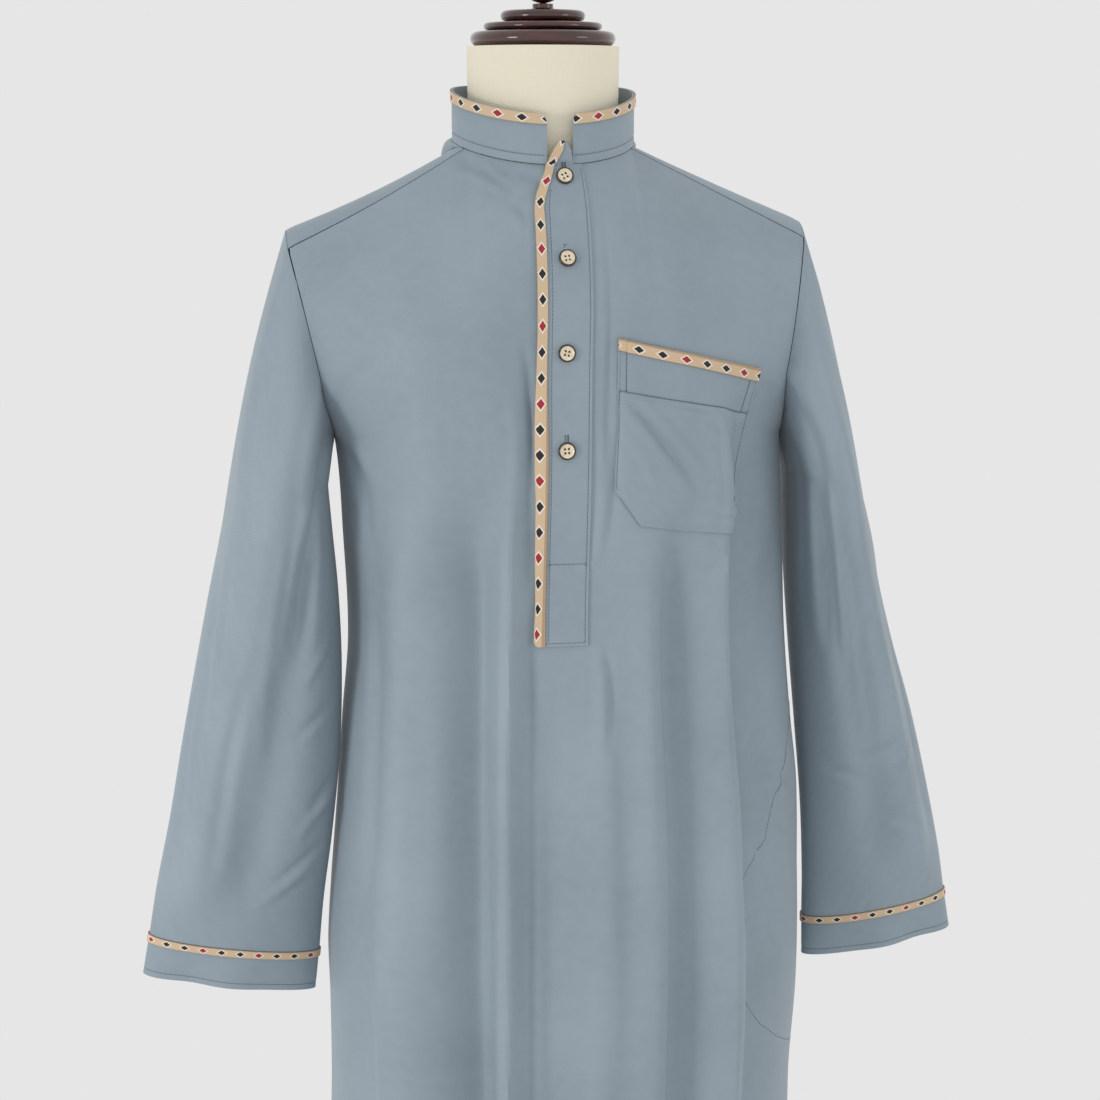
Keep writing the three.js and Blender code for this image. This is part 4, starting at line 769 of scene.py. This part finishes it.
# Cotton-polyester woven tape, 8.5 to 10 mm wide.
wide_braid = woven_tape("woven_tape", 0.0066, 0.0086)
tape_levels = np.linspace(COLLAR_HEIGHT - COLLAR_TAPE, COLLAR_HEIGHT, 8)
collar_tape = cloth_shell("thobe_collar_tape", collar_grid(tape_levels), TAPE, wide_braid, lift=1.5)
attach(collar_tape, "root")
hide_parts("collar_trim")


# Placket: a flap of poplin stitched on the wearer's left of the neck slit, boxed with stitches at its foot.
# It runs up to a soft point between the collar's ends, and its free edge carries the tape.
FLAP_LEFT, FLAP_RIGHT = -24.5, 20.5
FLAP_FOOT = 1118.0
FLAP_LIFT = 1.6
FLAP_ROWS = 130
FLAP_STITCH, FLAP_BAR, FLAP_POINT = 18.2, 1184, 12
# The point's outline above the panel: height, left and right edge.
FLAP_LEVELS = [(1511, -6, 9), (1518, -1.5, 4.5)]


def flap_share(column):
    """Share of the way across the flap's point for a column."""
    return np.interp(column, [-24.5, -14.5, -4, 4, 12], [0, 0.25, 0.5, 0.75, 1])


def flap_grid(columns, corner):
    """The flap over the front panel, with extra rows that close to its point."""
    rise = np.linspace(0, 1, FLAP_ROWS)
    short = np.maximum(0, corner - (columns - FLAP_LEFT))
    foot = FLAP_FOOT + corner - np.sqrt(np.maximum(0, corner ** 2 - short ** 2))
    row = foot + (NECK_ROW - foot) * rise[:, None]
    low = front_surface(row, columns + 0 * row)
    share = flap_share(columns)
    points = [low[-1]]
    for high, left, right in FLAP_LEVELS:
        points.append(np.stack([between(left, right, share) + COLLAR_GAP_SHIFT,
                                np.full(len(columns), -NECK_FRONT), np.full(len(columns), float(high))], -1))
    upper = []
    for below, above in zip(points, points[1:]):
        upper += [between(below, above, t) for t in (0.25, 0.5, 0.75, 1)]
    return np.concatenate([low, np.array(upper)])


flap_across = np.unique(np.concatenate([np.arange(FLAP_LEFT, FLAP_RIGHT + 0.1, 1.5),
                                        np.arange(15.5, 20.6, 0.5)]))
grid = flap_grid(flap_across, 5)
side_stitch = -0.9 * np.exp(-((flap_across - FLAP_STITCH) / 0.8) ** 2)
bar_stitch = -0.7 * np.exp(-((grid[:, :, 2] - FLAP_BAR) / 1.5) ** 2)
on_panel = np.arange(len(grid))[:, None] < FLAP_ROWS
grid = grid + face_out(grid) * ((side_stitch + bar_stitch) * on_panel)[..., None]
keep = np.ones((len(grid) - 1, len(flap_across) - 1), bool)
keep[FLAP_ROWS - 1:, flap_across[1:] > FLAP_POINT + 0.1] = False
flap = cloth_shell("thobe_placket", grid, CLOTH, poplin, keep=keep, lift=FLAP_LIFT)
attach(flap, "root")
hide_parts("placket")

# The tape keeps its width along the flap's free edge and up round the point.
# Height and width of the tape.
FLAP_TAPE = np.array([
    (1118, 8.3), (1440, 8.3), (1475, 7.4), (1490, 6.8), (1500, 7.2), (1511, 8.0), (1518, 4.6)], float)
tape_rows = []
for line in flap_grid(np.linspace(FLAP_LEFT, FLAP_POINT, 150), 5):
    wide = np.interp(line[:, 2].mean(), FLAP_TAPE[:, 0], FLAP_TAPE[:, 1])
    wanted = np.linspace(line[0, 0], min(line[0, 0] + wide, line[-1, 0]), 8)
    tape_rows.append(np.stack([np.interp(wanted, line[:, 0], line[:, i]) for i in range(3)], -1))
tape_grid = np.array(tape_rows).transpose(1, 0, 2)
flap_tape = cloth_shell("thobe_placket_tape", tape_grid, TAPE, wide_braid,
                        facing=-1, lift=FLAP_LIFT + 1.55)
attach(flap_tape, "root")
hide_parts("placket_trim")


# Chest pocket: a patch of poplin on the wearer's left breast with clipped lower corners and a deep stitched
# band at its mouth, which carries the tape. It sags a little and creases below the band.
POCKET_LEFT, POCKET_RIGHT = 41.0, 166.0
POCKET_FOOT = 1219.0
POCKET_BAND, POCKET_BAND_TOP = 1326, 1358
POCKET_SAG = 1.6
# Where the clipped lower corners start, how wide they are and how high they rise.
CORNER_LEFT, CORNER_RIGHT, CORNER_RISE = (62, 21), (148, 18), 26
POCKET_CREASES = [
    (43, 1323, 108, 1250, 4.6, -3.4), (56, 1323, 122, 1250, 4.4, 2.6), (78, 1318, 130, 1320, 3.4, -1.8),
    (134, 1325, 156, 1268, 2.8, 2.2), (128, 1322, 134, 1262, 3, -1.8), (92, 1316, 126, 1292, 4, 1.2),
    (58, 1258, 110, 1232, 4.4, 1.2), (48, 1290, 76, 1250, 4, 1.0), (146, 1318, 160, 1290, 2.6, -1.4),
    (100, 1250, 146, 1238, 4.4, -1.4), (112, 1238, 150, 1228, 3, 1.2), (70, 1236, 96, 1226, 3, -1.2),
]


def pocket_grid(rise, lowest):
    """The pocket over the front panel, from its foot or from a level row, up to its mouth."""
    columns = np.linspace(POCKET_LEFT, POCKET_RIGHT, 90)
    foot = np.full(len(columns), lowest)
    if lowest == POCKET_FOOT:
        foot += CORNER_RISE * np.maximum(0, (CORNER_LEFT[0] - columns) / CORNER_LEFT[1])
        foot += CORNER_RISE * np.maximum(0, (columns - CORNER_RIGHT[0]) / CORNER_RIGHT[1])
    row = foot + (CHEST - foot) * rise[:, None]
    column = columns + 0 * row
    grid = front_surface(row, column)
    inside = eased(0, 8, column - POCKET_LEFT) * eased(0, 8, POCKET_RIGHT - column) * eased(0, 8, row - foot)
    below = eased(POCKET_BAND - 1, POCKET_BAND - 8, row)
    out = inside * below * (creases_at(POCKET_CREASES, column, row) + POCKET_SAG)
    out = out - 0.8 * np.exp(-((row - POCKET_BAND) / 1.4) ** 2)
    edges = np.minimum(column - POCKET_LEFT, POCKET_RIGHT - column)
    out = out - 0.6 * np.exp(-((edges - np.where(row > POCKET_BAND, 7, 1.6)) / 0.9) ** 2)
    return grid + face_out(grid) * out[..., None]


pocket = cloth_shell("thobe_chest_pocket", pocket_grid(np.linspace(0, 1, 100), POCKET_FOOT), CLOTH, poplin,
                     lift=FLAP_LIFT)
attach(pocket, "root")
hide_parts("chest_pocket")
pocket_tape = cloth_shell("thobe_chest_pocket_tape", pocket_grid(np.linspace(0, 1, 8), 1358.5), TAPE,
                          wide_braid, lift=FLAP_LIFT + 1.55)
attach(pocket_tape, "root")
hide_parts("chest_pocket_trim")


# Buttons: four cast-resin shirt buttons, a glossy cream face in a dark brown rim, with four holes.
BUTTON_PROFILE = [(0, 1.75), (2.6, 1.75), (4.6, 1.8), (5.2, 2.2), (5.7, 2.6), (6.4, 2.62), (6.95, 2.35),
                  (7.2, 1.8), (7.2, 1.0), (6.6, 0.3), (5.6, 0), (0, 0)]
# Turn about its own axis, lean and tip of each button, in degrees.
BUTTON_TURNS = {"button_1": (26, -3, -13), "button_2": (8, 2, 0), "button_3": (-12, 0, 2),
                "button_4": (4, -2, -1)}

# Polyester resin, cream with a faint pearl cloud: very smooth.
tree, shader, cream_resin = new_material("cream_resin", "#E4D6B8", Roughness=0.16, IOR=1.52, Coat_Weight=0.4,
                                         Coat_Roughness=0.06)
shade(tree, shader, noise(tree, 260, 3), "#D9C6A0", "#EEE4CE", 0.3, 0.7)

# The same resin dyed dark brown, streaked like horn.
tree, shader, brown_resin = new_material("brown_resin", "#2A1C16", Roughness=0.2, IOR=1.52, Coat_Weight=0.4,
                                         Coat_Roughness=0.08)
shade(tree, shader, noise(tree, 420, 4), "#1C120E", "#4A3020", 0.35, 0.8)


def lathe_mesh(name, profile, steps):
    """A closed turned shape, its profile running from the axis on top, out and down, back to the axis."""
    rings = [(r, z) for r, z in profile[1:-1]]
    points = [(r * math.cos(i / steps * math.tau), r * math.sin(i / steps * math.tau), z)
              for r, z in rings for i in range(steps)]
    faces = []
    for k in range(len(rings) - 1):
        for i in range(steps):
            j = (i + 1) % steps
            faces.append((k * steps + i, (k + 1) * steps + i, (k + 1) * steps + j, k * steps + j))
    top, foot = len(points), len(points) + 1
    points += [(0, 0, profile[0][1]), (0, 0, profile[-1][1])]
    last = (len(rings) - 1) * steps
    for i in range(steps):
        j = (i + 1) % steps
        faces += [(top, i, j), (foot, last + j, last + i)]
    mesh = bpy.data.meshes.new(name)
    mesh.from_pydata(points, [], faces)
    mesh.shade_smooth()
    mesh.set_sharp_from_angle(angle=math.radians(42))
    return mesh


def cut_holes(mesh, radius, pitch, depth):
    """The same mesh with four holes bored through it."""
    body = add_object("button_blank", mesh)
    drills = []
    for sx, sy in ((-1, -1), (-1, 1), (1, -1), (1, 1)):
        drill_mesh = lathe_mesh("drill", [(0, depth), (radius, depth), (radius, -depth), (0, -depth)], 14)
        drill_mesh.transform(Matrix.Translation((sx * pitch / 2, sy * pitch / 2, 0)))
        drill = add_object("drill", drill_mesh)
        cut = body.modifiers.new("hole", "BOOLEAN")
        cut.operation = "DIFFERENCE"
        cut.solver = "EXACT"
        cut.object = drill
        drills.append(drill)
    depsgraph = bpy.context.evaluated_depsgraph_get()
    bored = bpy.data.meshes.new_from_object(body.evaluated_get(depsgraph))
    for old in [body] + drills:
        bpy.data.objects.remove(old)
    return bored


HOLE_RADIUS, HOLE_PITCH = 1.0, 3.1
RIM_FROM, RIM_FOOT = 5.5, 1.3
SEAT_STEP = np.array([-4.0, 4.0])
button_seats = []
for name, (spin, lean, tip) in BUTTON_TURNS.items():
    low, high = (np.array(corner) * 1000 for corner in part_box(name))
    middle = (low + high) / 2
    near = front_surface(middle[2] + SEAT_STEP[:, None] + 0 * SEAT_STEP,
                         middle[0] + SEAT_STEP + 0 * SEAT_STEP[:, None])
    out = face_out(near).mean((0, 1))
    out = out + np.array([math.radians(lean), 0, math.radians(tip)])
    out /= np.linalg.norm(out)
    right = np.cross([0, 0, 1], out) * -1
    right = np.cross(out, np.cross(right, out))
    right /= np.linalg.norm(right)
    up = np.cross(out, right)
    angle = math.radians(spin)
    x_way = right * math.cos(angle) + up * math.sin(angle)
    y_way = up * math.cos(angle) - right * math.sin(angle)
    blank = lathe_mesh(name + "_resin", BUTTON_PROFILE, 48)
    bored = cut_holes(blank, HOLE_RADIUS, HOLE_PITCH, 4)
    bored.materials.clear()
    bored.materials.append(cream_resin)
    bored.materials.append(brown_resin)
    local = np.empty(len(bored.vertices) * 3)
    bored.vertices.foreach_get("co", local)
    local = local.reshape(-1, 3)
    for face in bored.polygons:
        centre = local[list(face.vertices)].mean(0)
        face.material_index = int(math.hypot(centre[0], centre[1]) > RIM_FROM and centre[2] > RIM_FOOT)
    centre = middle - out * 1.3
    placed = (centre + local[:, :1] * x_way + local[:, 1:2] * y_way + local[:, 2:] * out) / 1000
    bored.vertices.foreach_set("co", placed.ravel())
    bored.update()
    button = add_object(name + "_resin", bored)
    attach(button, "root")
    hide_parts(name)
    button_seats.append((centre, x_way, y_way, out, right, up))


# Stitches: tonal polyester thread. Topstitches run 3 mm long along the collar, placket, pockets, cuffs and
# hem, short bars edge the buttonholes, and two bars hold each button.
def thread_tree(name, resample):
    """Each edge, or each step along a path, becomes one stitch."""
    tree = bpy.data.node_groups.new(name, "GeometryNodeTree")
    tree.is_modifier = True
    tree.interface.new_socket("Paths", in_out="INPUT", socket_type="NodeSocketGeometry")
    for label, value in (("Stitch pitch", 0.003), ("Stitch share", 0.78), ("Thread radius", 0.00022)):
        tree.interface.new_socket(label, in_out="INPUT", socket_type="NodeSocketFloat").default_value = value
    tree.interface.new_socket("Thread", in_out="INPUT", socket_type="NodeSocketMaterial")
    tree.interface.new_socket("Stitches", in_out="OUTPUT", socket_type="NodeSocketGeometry")
    given = add_node(tree, "NodeGroupInput")
    paths = given.outputs["Paths"]
    if resample:
        curve = add_node(tree, "GeometryNodeMeshToCurve", {"Mesh": paths})
        even = add_node(tree, "GeometryNodeResampleCurve", {
            "Curve": curve.outputs["Curve"], "Length": given.outputs["Stitch pitch"]}, mode="LENGTH")
        paths = add_node(tree, "GeometryNodeCurveToMesh", {"Curve": even.outputs["Curve"]}).outputs["Mesh"]
    ends = add_node(tree, "GeometryNodeInputMeshEdgeVertices")
    way = add_node(tree, "ShaderNodeVectorMath", {
        0: ends.outputs["Position 2"], 1: ends.outputs["Position 1"]}, operation="SUBTRACT")
    kept = tree.nodes.new("GeometryNodeCaptureAttribute")
    kept.domain = "EDGE"
    kept.capture_items.new("VECTOR", "way")
    tree.links.new(paths, kept.inputs["Geometry"])
    tree.links.new(way.outputs[0], kept.inputs["way"])
    middles = add_node(tree, "GeometryNodeMeshToPoints", {"Mesh": kept.outputs["Geometry"]}, mode="EDGES")
    turned = add_node(tree, "FunctionNodeAlignRotationToVector", {"Vector": kept.outputs["way"]}, axis="Z")
    length = add_node(tree, "ShaderNodeVectorMath", {0: kept.outputs["way"]}, operation="LENGTH")
    drawn = maths(tree, "MULTIPLY", length.outputs["Value"], given.outputs["Stitch share"])
    size = add_node(tree, "ShaderNodeCombineXYZ", {"X": 1, "Y": 1, "Z": drawn})
    strand = add_node(tree, "GeometryNodeMeshCylinder", {
        "Vertices": 6, "Radius": given.outputs["Thread radius"], "Depth": 1})
    sewn = add_node(tree, "GeometryNodeInstanceOnPoints", {
        "Points": middles.outputs["Points"], "Instance": strand.outputs["Mesh"],
        "Rotation": turned.outputs["Rotation"], "Scale": size.outputs["Vector"]})
    solid = add_node(tree, "GeometryNodeRealizeInstances", {"Geometry": sewn.outputs["Instances"]})
    dyed = add_node(tree, "GeometryNodeSetMaterial", {"Geometry": solid.outputs["Geometry"],
                                                      "Material": given.outputs["Thread"]})
    add_node(tree, "NodeGroupOutput", {"Stitches": dyed.outputs["Geometry"]})
    return tree


topstitch_tree = thread_tree("topstitch", True)
bar_tree = thread_tree("thread_bars", False)

# Spun polyester thread a shade darker than the cloth.
tree, shader, thread = new_material("polyester_thread", "#4C5861", Roughness=0.6, Sheen_Weight=0.2)
shade(tree, shader, noise(tree, 900, 2), "#414C55", "#58646E")


def sew(name, paths, tree, values, material):
    """Stitches along the given paths, each a list of points in millimetres, as one plain mesh."""
    points, edges = [], []
    for path in paths:
        first = len(points)
        points += [tuple(np.asarray(p) / 1000) for p in path]
        edges += [(first + i, first + i + 1) for i in range(len(path) - 1)]
    mesh = bpy.data.meshes.new(name + "_path")
    mesh.from_pydata(points, edges, [])
    holder = add_object(name + "_path", mesh)
    modifier = holder.modifiers.new("thread", "NODES")
    modifier.node_group = tree
    sockets = {item.name: item.identifier for item in tree.interface.items_tree if item.in_out == "INPUT"}
    for label, value in list(values.items()) + [("Thread", material)]:
        modifier[sockets[label]] = value
    depsgraph = bpy.context.evaluated_depsgraph_get()
    sewn = bpy.data.meshes.new_from_object(holder.evaluated_get(depsgraph))
    bpy.data.objects.remove(holder)
    sewn.name = name
    piece = add_object(name, sewn)
    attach(piece, "root")


def on_front(marks, lift):
    """Points on the front panel through (column, row) marks, lifted off it, 2 mm apart."""
    marks = np.asarray(marks, float)
    run = np.concatenate([[0], np.cumsum(np.linalg.norm(np.diff(marks, axis=0), axis=1))])
    stops = np.linspace(0, run[-1], max(3, int(run[-1] / 2)))
    columns, rows = (np.interp(stops, run, marks[:, i]) for i in (0, 1))
    step = 0.8
    middle = front_surface(rows, columns)
    right = front_surface(rows, columns + step)
    above = (front_surface(np.minimum(rows + step, NECK_ROW), columns)
             - front_surface(np.minimum(rows, NECK_ROW - step), columns))
    out = np.cross(right - middle, above)
    out /= np.linalg.norm(out, axis=1, keepdims=True)
    return middle + out * lift


TOPSTITCH = {"Stitch pitch": 0.0030, "Stitch share": 0.76, "Thread radius": 0.00024}
on_flap = FLAP_LIFT + CLOTH / 2
side_pocket = [(193, 1051), (184, 1012), (177.6, 974), (172.6, 935), (161, 903), (151.7, 880), (146.5, 855),
               (144.7, 831), (148.2, 802), (158.6, 777), (169.6, 760), (180, 750), (191, 741)]
panel_paths = [on_front([(-192, 145), (192, 145)], CLOTH / 2), on_front(side_pocket, CLOTH / 2)]
sew("stitches_front", panel_paths, topstitch_tree, TOPSTITCH, thread)
placket_paths = [
    on_front([(FLAP_STITCH, 1496), (FLAP_STITCH, 1120.5)], on_flap - 0.4),
    on_front([(FLAP_STITCH, 1120.5), (-19, 1120.5)], on_flap),
    on_front([(FLAP_STITCH, FLAP_BAR), (-13, FLAP_BAR)], on_flap - 0.3),
    on_front([(-12.4, 1122), (-12.4, 1480)], on_flap),
]
sew("stitches_placket", placket_paths, topstitch_tree, TOPSTITCH, thread)
pocket_paths = [
    on_front([(42.6, 1366), (42.6, 1246), (63, 1220.8), (147, 1220.8), (164.4, 1246), (164.4, 1366)],
             on_flap - 0.1),
    on_front([(43, POCKET_BAND), (164, POCKET_BAND)], on_flap - 0.2),
    on_front([(48, POCKET_BAND_TOP), (48, POCKET_BAND)], on_flap - 0.2),
    on_front([(159, POCKET_BAND_TOP), (159, POCKET_BAND)], on_flap - 0.2),
]
sew("stitches_chest_pocket", pocket_paths, topstitch_tree, TOPSTITCH, thread)
collar_path = collar_grid(np.array([COLLAR_STITCH - 0.4, COLLAR_STITCH, COLLAR_STITCH + 0.4]))
collar_path = (collar_path + face_out(collar_path) * 0.7)[1]
sew("stitches_collar", [collar_path[3:-3]], topstitch_tree, TOPSTITCH, thread)
for name in ("right", "left"):
    facing = -SLEEVES[name][0]
    rings = cuff_rings(name, [CUFF_STITCH - 0.5, CUFF_STITCH, CUFF_STITCH + 0.5])
    ring = (rings + face_out(rings, True, facing) * 0.35)[1]
    sew("stitches_cuff_" + name, [list(ring) + [ring[0]]], topstitch_tree, TOPSTITCH, thread)
hem_column = np.linspace(192, -192, 260)
hem = np.stack([back_point(np.full(260, z), hem_column) for z in (144.0, 145.0, 146.0)])
sew("stitches_back", [(hem + face_out(hem) * 1.1)[1]], topstitch_tree, TOPSTITCH, thread)

bars, ties = [], []
for centre, x_way, y_way, out, right, up in button_seats:
    for high in np.arange(-12.5, 7.0, 0.55):
        for across in (-1.1, 1.1):
            foot = centre + up * high + right * across - out * 0.9
            bars.append([foot - right * 0.75, foot + right * 0.75])
    for across in (-1.55, 1.55):
        ties.append([centre + x_way * across + y_way * y - out * 0.4 for y in (-1.55, 1.55)])
BAR_THREAD = {"Stitch pitch": 0.0015, "Stitch share": 1.0, "Thread radius": 0.00024}
TIE_THREAD = {"Stitch pitch": 0.0015, "Stitch share": 1.0, "Thread radius": 0.0003}
sew("buttonhole_bars", bars, bar_tree, BAR_THREAD, thread)
# Spun polyester thread, cream.
_, _, cream_thread = new_material("cream_thread", "#CDBB97", Roughness=0.6, Sheen_Weight=0.2)
sew("button_ties", ties, bar_tree, TIE_THREAD, cream_thread)


# Dress form: a padded torso and neck under close-fitting unbleached linen.
# Height, half width, and depth before and behind the axis.
FORM = np.array([
    (800, 150, 100, 104), (812, 163, 108, 112), (860, 168, 112, 118), (930, 167, 112, 118),
    (1010, 158, 106, 110), (1090, 148, 102, 102), (1160, 150, 106, 104), (1230, 160, 114, 106),
    (1300, 166, 118, 107), (1350, 168, 113, 103), (1390, 173, 100, 96), (1420, 179, 87, 84),
    (1440, 178, 77, 74), (1455, 164, 69, 63), (1470, 139, 64, 56), (1485, 108, 61, 54), (1498, 80, 60, 54),
    (1510, 67, 59, 57), (1524, 63, 59, 59), (1594, 63, 59, 59),
], float)
# Linen: plain weave of slubbed yarn, threads 0.6 mm apart, drawn 1 mm apart.
tree, shader, linen = new_material("unbleached_linen", "#EEE6CF", Roughness=0.85, Specular_IOR_Level=0.2,
                                   Sheen_Weight=0.1)
crown, _, flat_place = weave(tree, 0.0010)
slub = add_node(tree, "ShaderNodeMapping", {"Vector": flat_place, "Scale": (900, 40, 1)})
# The linen's colour mixes the slubs' random tone with painted shade: darker in the weave's hollows, lighter
# on its crowns.
thread_shaded_tone = maths(tree, "MULTIPLY_ADD", noise(tree, 1, 2, slub.outputs["Vector"]), 0.5, crown)
shade(tree, shader, thread_shaded_tone, "#E3D9BF", "#F1EAD5", 0.1, 0.8)
roughen(tree, shader, thread_shaded_tone, 0.4, 0.0003)

FORM_STEPS = 120
FORM_FOOT, FORM_TOP = 800, 1594
levels = np.unique(np.concatenate([np.linspace(FORM_FOOT, 1400, 40), np.linspace(1400, 1530, 60),
                                   np.linspace(1530, FORM_TOP, 8)]))
angle = np.arange(FORM_STEPS) / FORM_STEPS * 2 * np.pi
front_depth, back_depth = read(FORM, 2, levels)[:, None], read(FORM, 3, levels)[:, None]
depth = np.where(np.sin(angle) < 0, front_depth, back_depth)
grid = np.stack([read(FORM, 1, levels)[:, None] * np.cos(angle), depth * np.sin(angle),
                 levels[:, None] + 0 * angle], -1) / 1000
points = grid.reshape(-1, 3).tolist()
faces, corners = [], []
for k in range(len(levels) - 1):
    for i in range(FORM_STEPS):
        j = (i + 1) % FORM_STEPS
        low, high = k * FORM_STEPS, (k + 1) * FORM_STEPS
        faces.append((low + i, low + j, high + j, high + i))
        left, right = i * 0.0045, (i + 1) * 0.0045
        corners += [(left, levels[k] / 1000), (right, levels[k] / 1000),
                    (right, levels[k + 1] / 1000), (left, levels[k + 1] / 1000)]
for centre, ring, turn in ((FORM_FOOT, 0, -1), (FORM_TOP, len(levels) - 1, 1)):
    points.append((0, 0, centre / 1000))
    for i in range(FORM_STEPS):
        pair = (ring * FORM_STEPS + i, ring * FORM_STEPS + (i + 1) % FORM_STEPS)[::turn]
        faces.append((len(points) - 1,) + pair)
        corners += [(0, 0)] + [(points[p][0], points[p][1]) for p in pair]
form_mesh = bpy.data.meshes.new("form_linen")
form_mesh.from_pydata(points, [], faces)
form_mesh.uv_layers.new(name="Cloth").data.foreach_set("uv", np.array(corners).ravel())
form_mesh.shade_smooth()
form_mesh.set_sharp_from_angle(angle=math.radians(50))
form_mesh.materials.append(linen)
form = add_object("form_linen", form_mesh)
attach(form, "root")
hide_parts("form_torso")


# Neck cap: turned beech, stained dark red-brown and varnished, pegged into the form's neck.
CAP_FOOT = 1594.3


def bead(radius, foot, high, steps=10):
    """A rounded edge of a turned shape, from its top to its foot."""
    half = high / 2
    turns = np.linspace(math.pi / 2, -math.pi / 2, steps)
    return [(radius - half + half * math.cos(t), foot + half + half * math.sin(t)) for t in turns]


cap_profile = ([(0, CAP_FOOT + 63)] + bead(16, CAP_FOOT + 35, 28, 18)[1:]
               + [(8.6, CAP_FOOT + 34.2), (8.6, CAP_FOOT + 31), (10, CAP_FOOT + 29.6)]
               + bead(35, CAP_FOOT + 20, 9) + [(33, CAP_FOOT + 19.6)]
               + bead(49, CAP_FOOT + 13, 6) + [(47, CAP_FOOT + 12.6)]
               + bead(60, CAP_FOOT, 12, 14) + [(0, CAP_FOOT)])
cap_mesh = lathe_mesh("cap_wood", cap_profile, 96)
cap_mesh.transform(Matrix.Scale(0.001, 4))
# Stained beech under gloss varnish: short dark flecks along the grain, a hard bright highlight.
tree, shader, stained_beech = new_material("stained_beech", "#3A1914", Roughness=0.22, Coat_Weight=0.8,
                                           Coat_Roughness=0.05)
place = add_node(tree, "ShaderNodeTexCoord")
grain = add_node(tree, "ShaderNodeMapping", {"Vector": place.outputs["Object"], "Scale": (30, 260, 420)})
flecks = noise(tree, 1, 4, grain.outputs["Vector"])
shade(tree, shader, flecks, "#220D0B", "#53241B", 0.3, 0.72)
roughen(tree, shader, flecks, 0.08, 0.0004)
cap_mesh.materials.append(stained_beech)
cap = add_object("cap_wood", cap_mesh)
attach(cap, "root")
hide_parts("form_neck_cap")


# Pole and base: powder-coated steel, a tube socketed in a weighted round foot.
tree, shader, powder_coat = new_material("black_powder_coat", "#26272A", Roughness=0.42,
                                         Specular_IOR_Level=0.5)
shade(tree, shader, noise(tree, 12, 4), "#202124", "#2E2F32")
# Powder coat's orange peel is about 1 mm across.
roughen(tree, shader, noise(tree, 700, 2), 0.15, 0.0002)
POLE = [(0, 799.7), (25.2, 799.7), (26, 798.9), (26, 789.2), (25, 788), (17, 786.6), (16, 785.6), (16, 46.8),
        (15.5, 46.3), (0, 46.3)]
BASE = [(0, 46), (23, 46), (24, 45), (26, 35), (28, 31.5), (34, 28), (60, 26.6), (110, 24.2), (150, 22.3),
        (157, 21.6), (161.5, 19), (164.4, 15), (165, 12), (165, 3.2), (164.2, 1), (162, 0), (0, 0)]
for name, profile in (("form_pole", POLE), ("form_base", BASE)):
    mesh = lathe_mesh(name + "_steel", profile, 96)
    mesh.transform(Matrix.Scale(0.001, 4))
    mesh.materials.append(powder_coat)
    piece = add_object(name + "_steel", mesh)
    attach(piece, "root")
    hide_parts(name)
